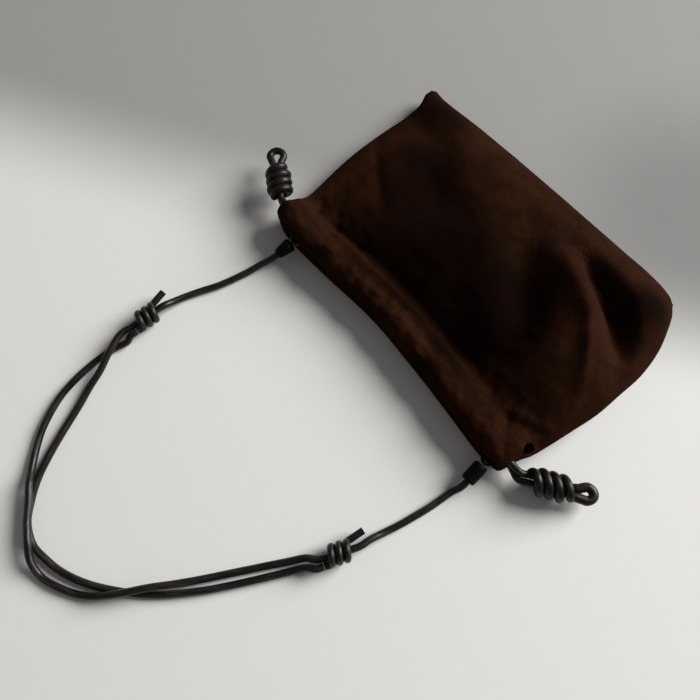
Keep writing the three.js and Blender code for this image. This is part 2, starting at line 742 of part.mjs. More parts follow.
strapEnds.forEach((end, index) => {
  const places = fittingPlaces(end);
  const ring = new THREE.TorusGeometry(ringRadius, ringWire / 2, 6, 16);
  const tab = tabGeometry();
  tab.rotateX(Math.PI / 2);
  tab.rotateZ(Math.PI / 2);
  place(`strap_tab_${end.name}`, tab, 'suede', places.ring.clone().add(vector(0, ringRadius, 0)));
  place(`strap_ring_${end.name}`, ring, 'ring', places.ring);
  place(`strap_sleeve_${end.name}`, sleeveGeometry(), 'cord', places.inner, places.outward);
  const centres = cordCentres(strapPoints(index), 3 * strapCordDiameter);
  place(`strap_cord_${end.name}`, cordGeometry(centres, strapCordDiameter), 'cord');
});

knots.forEach((knot) => {
  const geometry = cordGeometry(cordCentres(knotPoints(knot), 2.5 * strapCordDiameter, 26), strapCordDiameter);
  place(`strap_knot_${knot.name}`, geometry, 'cord');
});

export default group;
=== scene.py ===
"""A suede drawstring shoulder bag on its back panel, with a strap of two leather cords.

The file is laid out as an add-on and run as a script. The tables and lengths of the pouch are
in millimetres, as in the part's source, and every mesh is made in metres.
"""
import math

import bmesh
import bpy
import numpy as np
from bpy.props import FloatProperty, FloatVectorProperty, IntProperty, PointerProperty
from mathutils import Matrix, Vector, noise


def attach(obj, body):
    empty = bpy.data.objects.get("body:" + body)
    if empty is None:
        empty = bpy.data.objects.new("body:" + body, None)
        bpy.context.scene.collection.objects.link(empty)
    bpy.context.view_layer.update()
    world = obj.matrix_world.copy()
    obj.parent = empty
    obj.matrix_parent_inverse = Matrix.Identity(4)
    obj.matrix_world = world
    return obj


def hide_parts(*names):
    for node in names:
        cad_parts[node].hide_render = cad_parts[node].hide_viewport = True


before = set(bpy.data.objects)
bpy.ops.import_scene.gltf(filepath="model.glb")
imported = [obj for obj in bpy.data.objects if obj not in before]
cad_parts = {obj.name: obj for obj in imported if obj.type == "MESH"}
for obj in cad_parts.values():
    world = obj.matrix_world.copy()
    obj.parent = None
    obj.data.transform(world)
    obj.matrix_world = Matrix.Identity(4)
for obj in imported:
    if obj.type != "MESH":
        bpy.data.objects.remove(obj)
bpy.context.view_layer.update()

bl_info = {
    "name": "Suede shoulder bag",
    "version": (1, 0, 0),
    "blender": (4, 5, 0),
    "location": "3D View > Sidebar > Bag",
    "description": "Builds a suede drawstring bag with leather cords",
    "category": "Object",
}

MM = 0.001


# ---------------------------------------------------------------- tables

def table(names, rows):
    """Rows of numbers under named columns."""
    values = np.array(rows, float)
    return {name: values[:, index] for index, name in enumerate(names.split())}


# The outline, seen from above. Each side edge is a share of the half width at a share of the
# length from the mouth to the base.
SIDE_ROWS = table("at left right", [
    (0.00, 1.010, 1.045), (0.05, 1.022, 1.055), (0.09, 0.992, 1.073), (0.13, 0.972, 1.098),
    (0.20, 0.976, 1.122), (0.31, 0.995, 1.152), (0.43, 1.008, 1.182), (0.55, 1.008, 1.190),
    (0.67, 0.998, 1.195), (0.78, 0.985, 1.170), (0.88, 0.995, 1.120), (0.96, 1.038, 1.070),
    (1.00, 1.050, 1.042),
])

# The mouth and base edges, as shares of the length beyond half the length, at a share of the
# half width from the middle
END_ROWS = table("at mouth base", [
    (-1.00, -0.040, 0.000), (-0.86, -0.008, -0.014), (-0.55, -0.013, -0.006),
    (-0.14, -0.032, -0.002), (0.22, -0.016, -0.002), (0.52, 0.006, -0.001),
    (0.86, 0.035, 0.000), (1.00, 0.031, -0.016),
])

# Heights of the body behind the hem and of the rim where the top meets the back panel, as
# shares of the bag's height
HEIGHT_ROWS = table("at left middle right rim_left rim_right", [
    (0.00, 0.56, 0.47, 0.50, 0.30, 0.30), (0.19, 0.54, 0.45, 0.54, 0.28, 0.32),
    (0.26, 0.56, 0.58, 0.68, 0.26, 0.36), (0.34, 0.60, 0.76, 0.82, 0.25, 0.38),
    (0.45, 0.62, 0.87, 0.92, 0.25, 0.41), (0.60, 0.65, 0.93, 0.99, 0.25, 0.44),
    (0.75, 0.64, 0.98, 1.01, 0.26, 0.45), (0.87, 0.58, 0.96, 0.98, 0.27, 0.45),
    (1.00, 0.44, 0.80, 0.84, 0.28, 0.45),
])

# Folds of the top panel, from a first point past the middle one to the last, in shares of the
# half width and half length. The breadth is a share of the length, the rise a share of the
# height, and the power is 2 for a round fold and near 1 for a sharp one.
FOLD_ROWS = table("from_x from_y past_x past_y to_x to_y breadth rise power", [
    (-0.68, -0.62, 0.05, -0.52, 0.92, -0.78, 0.052, -0.17, 2.0),
    (-0.84, -0.70, -0.42, -0.58, 0.02, -0.52, 0.024, -0.12, 1.5),
    (0.34, 0.50, 0.60, 0.42, 0.80, 0.14, 0.058, 0.15, 2.0),
    (0.66, 0.34, 0.87, 0.08, 1.05, -0.30, 0.026, 0.075, 2.0),
    (0.42, 0.58, 0.90, 0.56, 1.08, 0.10, 0.058, -0.46, 1.8),
    (0.16, 0.40, 0.44, 0.08, 0.64, -0.34, 0.082, -0.22, 2.0),
    (0.62, -0.12, 0.58, -0.40, 0.52, -0.66, 0.060, -0.12, 2.0),
    (-0.02, 0.24, 0.16, -0.06, 0.24, -0.36, 0.075, 0.05, 2.0),
    (0.74, -0.70, 0.92, -0.68, 1.10, -0.56, 0.026, 0.06, 2.0),
    (0.84, -0.90, 1.00, -0.84, 1.14, -0.66, 0.014, -0.10, 1.4),
    (-0.95, 0.80, -0.60, 0.35, -0.15, -0.10, 0.100, -0.10, 2.0),
    (-0.98, 0.20, -0.78, -0.05, -0.55, -0.28, 0.036, -0.07, 1.5),
    (-0.62, 0.10, -0.36, 0.22, -0.10, 0.10, 0.110, -0.06, 2.0),
])

# Gathers pulled into the hem by the drawcord. The rise is a share of the hem's thickness.
GATHER_ROWS = table("waves phase rise", [(7, 0.4, 0.085), (11, 1.9, 0.065)])

# Pleats between the gathers: lumps along the mouth, with how unevenly they are spaced
PLEATS = 6.5
PLEAT_RISE = 3.0
PLEAT_REACH = 0.19

# Painted light and shade on the top panel, in shares of the half width and half length: mostly the
# shade of the folds, the hem and the body's cast shadow, and partly nap brushed another way. A
# shade below 0 is painted darker, one above 0 painted lighter.
PAINTED_SHADE_ROWS = table("x y size_x size_y shade", [
    (-0.44, 0.16, 0.40, 0.30, -1.0), (-0.88, 0.72, 0.28, 0.26, -1.5),
    (-0.60, 0.28, 0.22, 0.20, -0.7), (-0.62, -0.14, 0.24, 0.16, -0.4),
    (-0.18, -0.22, 0.44, 0.28, -1.2), (0.10, 0.10, 0.28, 0.22, -0.7),
    (0.42, -0.14, 0.24, 0.28, -1.6), (0.48, -0.44, 0.24, 0.22, -1.0),
    (0.48, 0.14, 0.14, 0.22, -0.8), (0.84, -0.10, 0.14, 0.20, -0.4),
    (0.96, 0.68, 0.14, 0.16, -1.5), (0.98, -0.38, 0.18, 0.16, 0.4),
    (-0.82, -0.44, 0.14, 0.12, 0.4), (0.70, 0.28, 0.10, 0.12, 0.3),
    (0.10, 0.88, 0.80, 0.18, -0.6), (0.56, -0.80, 0.30, 0.12, -0.7),
    (-0.40, -0.72, 0.30, 0.06, -1.0), (0.00, -0.69, 0.26, 0.06, -1.2),
    (0.32, -0.74, 0.18, 0.06, -1.0), (-0.60, -0.96, 0.10, 0.06, -0.8),
    (-0.16, -0.92, 0.12, 0.05, -0.7), (0.30, -0.96, 0.10, 0.06, -0.8),
    (0.72, -1.02, 0.12, 0.06, -0.7),
])

# How far the base's left and right corners are blunted, in millimetres
BLUNT_CORNERS = (2.8, 1.2)

# The punched hole's middle, in shares of the pouch. The suede round it is pulled along a
# heading in degrees from +X, which stretches the hole to an oval. The lean is how far it slants
# along the heading and against the one to its left, for each millimetre above the level.
PUNCH = dict(across=0.95, along=0.132, heading=48, stretch=0.4, lean=(0.4, 0.25), level=17)

# How the drawcord's two strands run from each end of the hem, with headings in degrees from
# +X. A lead is a place before the coil, as a share of its length, with the pair's roll there.
# The tilt slants the coil's turns, in millimetres, and the swell makes the loop's cord thicker.
DRAWCORD_ENDS = [
    dict(name="left", across=-1, neck=3.6, neck_heading=168, roll=-90, lead=[], coil_height=17,
         coil_heading=146, coil_share=1, tilt=0.8, loop_heading=142, loop_width=15.4,
         swell=0.08),
    dict(name="right", across=1, neck=14.6, neck_heading=9.2, roll=0, lead=[(-0.2, 35)],
         coil_height=10.8, coil_heading=31.5, coil_share=1.0929, tilt=2.2, loop_heading=39,
         loop_width=14, swell=0.34),
]
HEM_PLACES = [-1, -0.94, -0.86, -0.7, -0.5, -0.25, 0, 0.25, 0.5, 0.7, 0.86, 0.94, 1]

# Where the strap's fittings leave the mouth. The sleeve's length and its diameters at the ring
# and at the cord are shares of the right sleeve's.
STRAP_ENDS = [
    dict(name="left", across=-0.78, heading=258.6, fall=24, pulled=0,
         sleeve=dict(length=0.8333, broad=1.0377, narrow=0.7358)),
    dict(name="right", across=0.905, heading=274, fall=13, pulled=3.0,
         sleeve=dict(length=1, broad=1, narrow=0.9811)),
]

# How deep the strap's cord sits in its sleeve, in millimetres
SLEEVE_BORE = 9

# The tail of a sliding knot, and how far it splays out, in millimetres
KNOT_TAIL = 12.5
KNOT_SPLAY = 3.7

# The sliding knots, with the heading of the cord that runs through each
KNOTS = [
    dict(name="left", middle=(-122.4, -200.6), heading=265),
    dict(name="right", middle=(92.4, -206.2), heading=245),
]

# The strap's cords as they lie, in millimetres. The lowest places lie on the table.
FLOOR = 2.6
OVER = 7.9
ROUTES = {
    "left": dict(
        to_knot=[
            (-101.0, -114.1, 4.4), (-102.8, -122.1, 3.1), (-105.0, -131.0, FLOOR),
            (-109.1, -145.7, FLOOR), (-114.9, -159.9, FLOOR), (-119.0, -171.0, FLOOR),
            (-120.6, -179.6, 4.8),
        ],
        from_knot=[
            (-124.2, -223.0, 8.8), (-119.1, -236.7, 8.3), (-112.8, -250.3, 6.4),
            (-109.3, -262.8, 3.6), (-104.0, -275.5, FLOOR), (-94.4, -299.2, FLOOR),
            (-87.2, -315.0, FLOOR), (-80.2, -327.6, FLOOR), (-71.8, -338.2, FLOOR),
            (-61.0, -348.6, FLOOR), (-46.7, -354.0, FLOOR), (-33.6, -352.9, FLOOR),
            (-20.7, -349.9, FLOOR), (-4.2, -342.3, FLOOR), (12.6, -330.5, FLOOR),
            (30.0, -314.8, FLOOR), (49.6, -289.6, FLOOR), (69.8, -255.8, FLOOR),
            (79.4, -238.3, 3.2), (84.6, -228.9, 5.8),
        ],
    ),
    "right": dict(
        to_knot=[
            (113.2, -123.6, 3.3), (111.9, -132.9, FLOOR), (110.7, -141.1, FLOOR),
            (108.3, -152.7, FLOOR), (105.7, -164.1, FLOOR), (102.5, -175.2, 3.4),
            (99.7, -184.9, 6.4),
        ],
        from_knot=[
            (80.2, -224.6, 6.4), (74.0, -234.8, 3.4), (64.3, -251.0, FLOOR),
            (54.2, -268.1, FLOOR), (44.2, -285.0, 3.4), (35.0, -299.6, 6.8),
            (27.0, -311.4, OVER), (15.6, -330.2, OVER), (7.0, -342.1, 5.0),
            (-3.7, -351.4, FLOOR), (-16.7, -358.3, FLOOR), (-27.0, -361.6, FLOOR),
            (-38.8, -359.8, 6.4), (-47.6, -354.6, 8.3), (-59.6, -347.1, 8.1),
            (-71.3, -337.9, 8.1), (-78.8, -332.6, 8.0), (-88.1, -326.2, 4.2),
            (-97.9, -316.7, FLOOR), (-107.4, -304.4, FLOOR), (-117.5, -283.1, FLOOR),
            (-121.4, -263.4, FLOOR), (-122.2, -245.2, FLOOR), (-121.0, -232.0, FLOOR),
            (-118.2, -223.2, 4.5),
        ],
    ),
}


# ---------------------------------------------------------------- settings

def linear(colour):
    """An sRGB hex colour as linear red, green and blue."""
    shares = [int(colour[place:place + 2], 16) / 255 for place in (1, 3, 5)]
    return [s / 12.92 if s <= 0.04045 else ((s + 0.055) / 1.055) ** 2.4 for s in shares]


def length_property(name, description, millimetres):
    return FloatProperty(name=name, description=description, default=millimetres * MM,
                         min=0, precision=4, unit="LENGTH")


def colour_property(name, description, colour):
    return FloatVectorProperty(name=name, description=description, default=linear(colour),
                               subtype="COLOR", min=0, max=1)


class BagSizes(bpy.types.PropertyGroup):
    """Sizes of the bag and its cords"""
    width: length_property("Width", "Width of the bag between its side seams", 240)
    length: length_property("Length", "Length from the mouth to the base", 172)
    height: length_property("Height", "Height of the fullest place above the table", 42)
    suede_wall: length_property("Suede wall", "Thickness of the suede", 2)
    side_seam: length_property("Side seam", "Width of the seam inside the edges", 3)
    mouth_lift: length_property("Mouth lift", "Lift of the mouth's left end", 4)
    hem_width: length_property("Hem width", "Width of the hem round the mouth", 18)
    hem_thickness: length_property("Hem thickness", "Thickness of the rolled hem", 8.6)
    slit: length_property("Slit", "Opening between the two hems", 7)
    channel_inset: length_property("Channel inset", "Drawcord's distance from the lip", 8.5)
    channel_diameter: length_property("Channel", "Diameter of the drawcord's channel", 6)
    punched_hole: length_property("Punched hole", "Diameter of the hole in the corner", 8.4)
    drawcord: length_property("Drawcord", "Diameter of the drawcord", 5)
    strap_cord: length_property("Strap cord", "Diameter of the strap's cords", 5)
    coil_length: length_property("Coil length", "Length of a coil knot", 28)
    coil_outer: length_property("Coil diameter", "Outer diameter of a coil knot", 19.8)
    coil_cord: length_property("Coil cord", "Diameter of the cord of a coil knot", 6.2)
    coil_turns: FloatProperty(name="Coil turns", description="Turns of a coil knot",
                              default=3.5, min=1, max=12)
    end_loop: length_property("End loop", "Length of the loop beyond a coil knot", 16)
    sleeve_length: length_property("Sleeve length", "Length of the right strap sleeve", 15)
    sleeve_diameter: length_property("Sleeve", "Diameter of the right strap sleeve", 10.6)
    ring_diameter: length_property("Ring", "Outer diameter of a strap ring", 11)
    ring_wire: length_property("Ring wire", "Diameter of the ring's wire", 1.8)
    tab_length: length_property("Tab length", "Length of the tab that holds a ring", 20)
    tab_width: length_property("Tab width", "Width of the tab that holds a ring", 3.6)
    knot_turns: FloatProperty(name="Knot turns", description="Turns of a sliding knot",
                              default=2.5, min=1, max=6)
    columns: IntProperty(name="Columns", description="Faces across each panel", default=225,
                         min=20, max=400)


class BagColours(bpy.types.PropertyGroup):
    """Colours of the bag and its cords"""
    suede: colour_property("Suede", "Suede of the bag", "#211007")
    # The raised-nap colour also serves as painted light, and the colour below it as painted shade,
    # laid on where the pouch stores painted shade
    suede_nap_and_painted_light: colour_property("Raised nap and painted light", "Suede with its nap brushed up, also painted light", "#2f190d")
    suede_painted_shade: colour_property("Painted shade", "Suede darkened as painted shade", "#0b0301")
    drawcord: colour_property("Drawcord", "Leather of the drawcord", "#0d0a09")
    strap: colour_property("Strap cord", "Leather of the strap's cords", "#0c0a09")
    sleeve: colour_property("Sleeve", "Leather of the strap's sleeves", "#080706")
    strap_wear: colour_property("Worn strap", "Scuffed streaks of the strap", "#38302a")
    metal: colour_property("Rings", "Darkened metal of the rings", "#1c1816")
    floor: colour_property("Floor", "Studio floor", "#d6d4d0")


class BagSettings(bpy.types.PropertyGroup):
    """Everything that a user of the bag would change"""
    sizes: PointerProperty(type=BagSizes)
    colours: PointerProperty(type=BagColours)


def sizes():
    return bpy.context.scene.bag_settings.sizes


def colours():
    return bpy.context.scene.bag_settings.colours


# ---------------------------------------------------------------- shape of the pouch

def column(rows, name, at):
    """A table's column at any places, as a smooth curve through its rows (a cubic Hermite
    spline)."""
    places, values = rows["at"], rows[name]
    index = np.arange(len(places))
    before, after = np.maximum(index - 1, 0), np.minimum(index + 1, len(places) - 1)
    slopes = (values[after] - values[before]) / (places[after] - places[before])
    at = np.asarray(at, float)
    row = np.clip(np.searchsorted(places, at) - 1, 0, len(places) - 2)
    span = places[row + 1] - places[row]
    part = np.clip((at - places[row]) / span, 0, 1)
    return (values[row] * (2 * part**3 - 3 * part**2 + 1)
            + slopes[row] * span * (part**3 - 2 * part**2 + part)
            + values[row + 1] * (3 * part**2 - 2 * part**3)
            + slopes[row + 1] * span * (part**3 - part**2))


def smoothstep(value, low, high):
    part = np.clip((np.asarray(value, float) - low) / (high - low), 0, 1)
    return part * part * (3 - 2 * part)


def mix(first, second, share):
    return first + (second - first) * share


def rounding(position, start):
    """1 up to the start, then down a quarter of an ellipse to 0 at 1."""
    part = np.maximum(0, (np.abs(position) - start) / (1 - start))
    return np.sqrt(np.maximum(0, 1 - part * part))


class Pouch:
    """The pouch's form, in millimetres. across runs from -1 to 1 over its width, and along
    from 0 at the mouth to 1 at the base."""

    def __init__(self):
        s = sizes()
        self.half_width, self.length = s.width / MM / 2, s.length / MM
        self.half_length, self.height = self.length / 2, s.height / MM
        self.wall, self.seam = s.suede_wall / MM, s.side_seam / MM
        self.mouth_lift, self.hem = s.mouth_lift / MM, s.hem_thickness / MM
        self.slit = s.slit / MM
        self.hem_share = s.hem_width / s.length
        self.channel_share = s.channel_inset / s.length
        self.channel = s.channel_diameter / MM
        self.mouth_height = self.hem + self.slit / 2
        self.inner_base = 1 - self.seam / self.length

    def plan(self, across, along):
        left = -self.half_width * column(SIDE_ROWS, "left", along)
        right = self.half_width * column(SIDE_ROWS, "right", along)
        x = mix(left, right, (across + 1) / 2)
        mouth = -self.half_length - self.length * column(END_ROWS, "mouth", across)
        base = self.half_length + self.length * column(END_ROWS, "base", across)
        blunt = np.where(np.asarray(across) < 0, *BLUNT_CORNERS)
        blunt = blunt * smoothstep(np.abs(across), 0.94, 1) * smoothstep(along, 0.93, 1)
        return x - np.sign(across) * blunt, mix(mouth, base, along) - blunt

    def lift(self, across, along):
        lengthways = 1 - smoothstep(along, 0.05, 0.5)
        return self.mouth_lift * smoothstep(-np.asarray(across), 0.15, 1) * lengthways

    def behind_hem(self, along):
        return smoothstep(along, self.hem_share, self.hem_share + 0.08)

    def rim_height(self, across, along):
        low = column(HEIGHT_ROWS, "rim_left", along)
        high = column(HEIGHT_ROWS, "rim_right", along)
        body = self.height * mix(low, high, (across + 1) / 2)
        return mix(self.mouth_height + self.lift(across, along), body, self.behind_hem(along))

    def folds(self, x, y):
        total = np.zeros_like(x)
        part = np.linspace(0, 1, 49)
        weights = np.array([(1 - part)**2, 2 * part * (1 - part), part**2])
        for row in range(len(FOLD_ROWS["rise"])):
            value = {name: FOLD_ROWS[name][row] for name in FOLD_ROWS}
            line_x = self.half_width * np.array(
                [value["from_x"], value["past_x"], value["to_x"]]) @ weights
            line_y = self.half_length * np.array(
                [value["from_y"], value["past_y"], value["to_y"]]) @ weights
            nearest = np.full(x.shape, np.inf)
            place = np.zeros(x.shape)
            for px, py, share in zip(line_x, line_y, part):
                distance = np.hypot(x - px, y - py)
                place = np.where(distance < nearest, share, place)
                nearest = np.minimum(nearest, distance)
            taper = np.sin(math.pi * np.clip(place, 0.04, 0.96))**0.7
            spread = (nearest / (self.length * value["breadth"]))**value["power"]
            total += self.height * value["rise"] * taper * np.exp(-spread)
        return total

    def gathers(self, across, along):
        waves = sum(
            rise * np.sin(math.pi * count * across + phase)
            for count, phase, rise in zip(*(GATHER_ROWS[n] for n in ("waves", "phase", "rise"))))
        return self.hem * waves * np.exp(-(along / (1.6 * self.hem_share))**2)

    def roll(self, along):
        """The hem's front, rounded down to the lip."""
        part = 1 - np.clip(np.asarray(along) / 0.07, 0, 1)
        back = 1 - 0.22 * smoothstep(along, 0.05, 0.14)
        return mix(0.42, 1, np.sqrt(1 - part * part)) * back

    def pleats(self, across, along):
        """Rounded lumps with sharp creases between them, from the lip to behind the hem."""
        uneven = 0.50 * np.sin(2.9 * across + 0.5) + 0.22 * np.sin(7.7 * across + 1.3)
        slant = along * (5 + 3 * np.sin(2.3 * across + 0.4))
        lumps = np.abs(np.cos(math.pi * (PLEATS * across + uneven + slant)))**1.1 - 0.35
        size = 0.65 + 0.35 * np.sin(4.1 * across + 2.0 + 14 * along)
        fade = np.exp(-(along / PLEAT_REACH)**4) * smoothstep(1 - np.abs(across), 0.0, 0.06)
        fade = fade * mix(0.15, 1, smoothstep(along, 0.01, 0.09))
        return PLEAT_RISE * lumps * size * fade

    def top_rise(self, across, along):
        x, y = self.plan(across, along)
        left, middle, right = (column(HEIGHT_ROWS, n, along) for n in ("left", "middle", "right"))
        crown = middle + (right - left) / 2 * across + ((left + right) / 2 - middle) * across**2
        body = self.height * crown + self.folds(x, y) - self.rim_height(across, along)
        blend = self.behind_hem(along)
        rise = mix((self.slit / 2 + self.hem) * self.roll(along), body, blend)
        rise = rise + self.gathers(across, along) + self.pleats(across, along)
        side = mix(0.93, np.where(np.asarray(across) < 0, 0.55, 0.72), blend)
        return rise * rounding(across, side) * rounding(along, 0.80)

    def back_drop(self, across, along):
        depth = self.rim_height(across, along) - self.lift(across, along)
        return depth * rounding(across, 0.93) * rounding(along, 0.93)

    def shell(self, side, across, along, depth):
        """Places of the shell. side is 1 on the top and -1 on the back, and depth goes from 0
        on the outside to 1 on the inside."""
        inset = across * (1 - depth * self.seam / self.half_width)
        x, y = self.plan(inset, along)
        outer = self.top_rise(inset, along) if side > 0 else self.back_drop(inset, along)
        body = np.maximum(outer - self.wall, self.wall / 4)  # the inside never meets the rim
        gap = mix(self.slit / 2, body, self.behind_hem(along))
        edge = rounding(across, 0.9) * rounding(along / self.inner_base, 0.96)
        rise = mix(outer, gap * edge, depth)
        rise = np.where(np.abs(across) == 1, 0, rise)
        return np.stack([x, y, self.rim_height(inset, along) + side * rise], -1)

    def channel_point(self, side, across):
        x, y = self.plan(across, self.channel_share)
        apart = self.slit / 2 + self.hem / 2
        closing = smoothstep(abs(across), 0.90, 1)
        offset = mix(apart - 1.2, self.channel / 2 + 0.3, closing)
        height = self.rim_height(across, self.channel_share) + side * offset
        return Vector((float(x), float(y), float(height)))


# ---------------------------------------------------------------- places of cords and fittings

# The gap between a piece and its neighbour, in millimetres
CLEARANCE = 0.3


def heading(degrees):
    angle = math.radians(degrees)
    return Vector((math.cos(angle), math.sin(angle), 0))


def left_of(direction):
    return Vector((-direction.y, direction.x, 0))


def coil_axis(pouch, end):
    """The start, direction and end of a coil knot's axis."""
    start = (pouch.channel_point(1, end["across"]) + pouch.channel_point(-1, end["across"])) / 2
    start += heading(end["neck_heading"]) * end["neck"]
    start.z = end["coil_height"]
    along = heading(end["coil_heading"])
    return start, along, start + along * (end["coil_share"] * sizes().coil_length / MM)


def strand_points(pouch, end, side):
    """One strand's places from before the coil to the side of the end loop. The two strands lie
    side by side, turned by a roll before the coil, and part to form the loop."""
    start, along, finish = coil_axis(pouch, end)
    cord = sizes().drawcord / MM
    loop_along = heading(end["loop_heading"])
    strand = cord / 2 + CLEARANCE / 2
    loop = (end["loop_width"] - cord) / 2
    reach = sizes().end_loop / MM - cord / 2
    coil = (finish - start).length
    inside = [(share, end["roll"] * (1 - float(smoothstep(share, 0, 0.75))))
              for share in (0, 0.25, 0.5, 0.75, 1)]
    places = [(start, along, share * coil, strand, roll)
              for share, roll in (*end["lead"], *inside)]
    places += [(finish, along, cord / 2, 1.1 * strand, 0)]
    places += [(finish, loop_along, far * reach, wide * loop, 0)
               for far, wide in ((0.50, 0.9), (0.68, 1), (0.92, 0.6))]
    points = []
    for base, direction, distance, out, roll in places:
        outward = Matrix.Rotation(math.radians(roll), 3, direction) @ left_of(direction)
        points.append(base + direction * distance + outward * (side * end["across"] * out))
    return points


def drawcord_points(pouch):
    """One cord through the top hem and the back hem. Its ends meet inside the right coil."""
    left, right = DRAWCORD_ENDS
    tips = []
    for end in (left, right):
        finish = coil_axis(pouch, end)[2]
        reach = (sizes().end_loop - sizes().drawcord / 2) / MM
        tips.append(finish + heading(end["loop_heading"]) * reach)
    right_back, left_back = strand_points(pouch, right, -1), strand_points(pouch, left, -1)
    left_top, right_top = strand_points(pouch, left, 1), strand_points(pouch, right, 1)
    meeting, in_coil = coil_axis(pouch, right)[1] * CLEARANCE, len(right["lead"]) + 2
    back_hem = [pouch.channel_point(-1, across) for across in reversed(HEM_PLACES)]
    top_hem = [pouch.channel_point(1, across) for across in HEM_PLACES]
    return [right_back[in_coil] - meeting, *reversed(right_back[:in_coil]), *back_hem,
            *left_back, tips[0], *reversed(left_top), *top_hem, *right_top, tips[1],
            *reversed(right_back[in_coil + 1:]), right_back[in_coil] + meeting]


def fitting_places(pouch, end):
    """The ring's middle, the sleeve's direction, and the sleeve's two ends."""
    x, y = pouch.plan(end["across"], 0)
    fall = math.radians(end["fall"])
    outward = heading(end["heading"]) * math.cos(fall)
    outward.z = -math.sin(fall)
    s = sizes()
    eye_reach = s.ring_wire / MM / 2 + 2 * CLEARANCE
    lean = math.hypot(outward.x, outward.z)
    broad, long = (s.sleeve_diameter / MM * end["sleeve"]["broad"],
                   s.sleeve_length / MM * end["sleeve"]["length"])
    away = end["pulled"] + broad / 2 * lean + 2 * CLEARANCE + eye_reach * outward.y
    eye = Vector((float(x), float(y) - away, float(pouch.rim_height(end["across"], 0))))
    ring = eye + Vector((0, (s.ring_diameter - s.ring_wire) / MM / 2, 0))
    inner = eye + outward * eye_reach
    return ring, outward, inner, inner + outward * long


class Knot:
    """A sliding knot round the cord that runs through it, in millimetres."""

    def __init__(self, row):
        self.cord = sizes().strap_cord / MM
        self.row = row
        self.radius = self.cord + 1.3 * CLEARANCE
        self.turns = sizes().knot_turns
        self.half = self.turns * (self.cord + CLEARANCE) / 2
        self.height = self.radius + self.cord / 2 + CLEARANCE

    def beside(self, along, left, up):
        direction = heading(self.row["heading"])
        middle = Vector((*self.row["middle"], self.height))
        return middle + direction * along + left_of(direction) * left + Vector((0, 0, up))

    def winding(self):
        """The wound cord, from the side of the table loop to its tail."""
        corners = round(16 * self.turns)
        points = [self.beside(self.half + self.cord, self.radius, 0)]
        for corner in range(corners + 1):
            angle = 2 * math.pi * self.turns * corner / corners
            along = self.half * (1 - 2 * corner / corners)
            points.append(self.beside(
                along, self.radius * math.cos(angle), self.radius * math.sin(angle)))
        splay = self.radius + KNOT_SPLAY
        points.append(self.beside(-self.half - KNOT_TAIL / 2, -(self.radius + splay) / 2, 0))
        points.append(self.beside(-self.half - KNOT_TAIL, -splay, 0))
        return points


def strap_points(pouch, index):
    """From inside the sleeve, through the knot beside it, and up to the other knot."""
    cord = sizes().strap_cord / MM
    _, outward, _, outer = fitting_places(pouch, STRAP_ENDS[index])
    route = ROUTES[STRAP_ENDS[index]["name"]]
    own, other = Knot(KNOTS[index]), Knot(KNOTS[1 - index])
    straight, end = own.half + 1.4 * cord, other.half + cord + 2 * CLEARANCE
    return [
        outer + outward * (CLEARANCE - SLEEVE_BORE), outer + outward * cord,
        *(Vector(point) for point in route["to_knot"]),
        own.beside(-straight, 0, 0), own.beside(0, 0, 0), own.beside(straight, 0, 0),
        *(Vector(point) for point in route["from_knot"]),
        other.beside(end + cord, other.radius, 0), other.beside(end, other.radius, 0)]


def smooth_line(points, step):
    """Places a step apart along a centripetal Catmull-Rom curve through the points."""
    points = np.array([list(p) for p in points])
    points = np.vstack([2 * points[0] - points[1], points, 2 * points[-1] - points[-2]])
    line = []
    part = np.linspace(0, 1, 32, endpoint=False)[:, None]
    for a, b, c, d in zip(points, points[1:], points[2:], points[3:]):
        ab, bc, cd = (max(np.linalg.norm(q - p), 1e-6)**0.5 for p, q in ((a, b), (b, c), (c, d)))
        leave = ((b - a) / ab - (c - a) / (ab + bc) + (c - b) / bc) * bc
        arrive = ((c - b) / bc - (d - b) / (bc + cd) + (d - c) / cd) * bc
        line.append(b + leave * part + (3 * (c - b) - 2 * leave - arrive) * part**2
                    + (2 * (b - c) + leave + arrive) * part**3)
    line = np.vstack([*line, points[-2]])
    run = np.r_[0, np.cumsum(np.linalg.norm(np.diff(line, axis=0), axis=1))]
    count = max(2, round(run[-1] / step)) + 1
    even = np.linspace(0, run[-1], count)
    return np.stack([np.interp(even, run, line[:, axis]) for axis in range(3)], -1)


# ---------------------------------------------------------------- nodes and materials

def add_node(tree, kind, inputs=None, **settings):
    """Adds a node, sets it, and fills its inputs with values or links."""
    made = tree.nodes.new(kind)
    for name, value in settings.items():
        setattr(made, name, value)
    for key, value in (inputs or {}).items():
        socket = made.inputs[key]
        if isinstance(value, bpy.types.NodeSocket):
            tree.links.new(value, socket)
        else:
            socket.default_value = value
    return made


def rgba(colour, share=1.0):
    """A colour, darkened to a share of itself, as a socket takes it."""
    return (*(share * part for part in colour), 1)


def tint(tree, tone, colour, value, low, high, most=1.0):
    """Turns a tone smoothly into a colour, up to a share of it, as a value goes from low to
    high."""
    share = add_node(tree, "ShaderNodeMapRange", {
        "Value": value, "From Min": low, "From Max": high, "To Min": 0.0, "To Max": most,
    }, interpolation_type="SMOOTHSTEP").outputs["Result"]
    return add_node(tree, "ShaderNodeMix", {"Factor": share, 6: tone, 7: colour},
                    data_type="RGBA").outputs[2]


def polish(tree, shader, wear, smooth, rough):
    """Lets the roughness follow a pattern of wear, from smooth to rough."""
    roughness = add_node(tree, "ShaderNodeMapRange", {
        "Value": wear, "From Min": 0.3, "From Max": 0.7, "To Min": smooth, "To Max": rough,
    }, interpolation_type="SMOOTHSTEP").outputs["Result"]
    tree.links.new(roughness, shader.inputs["Roughness"])


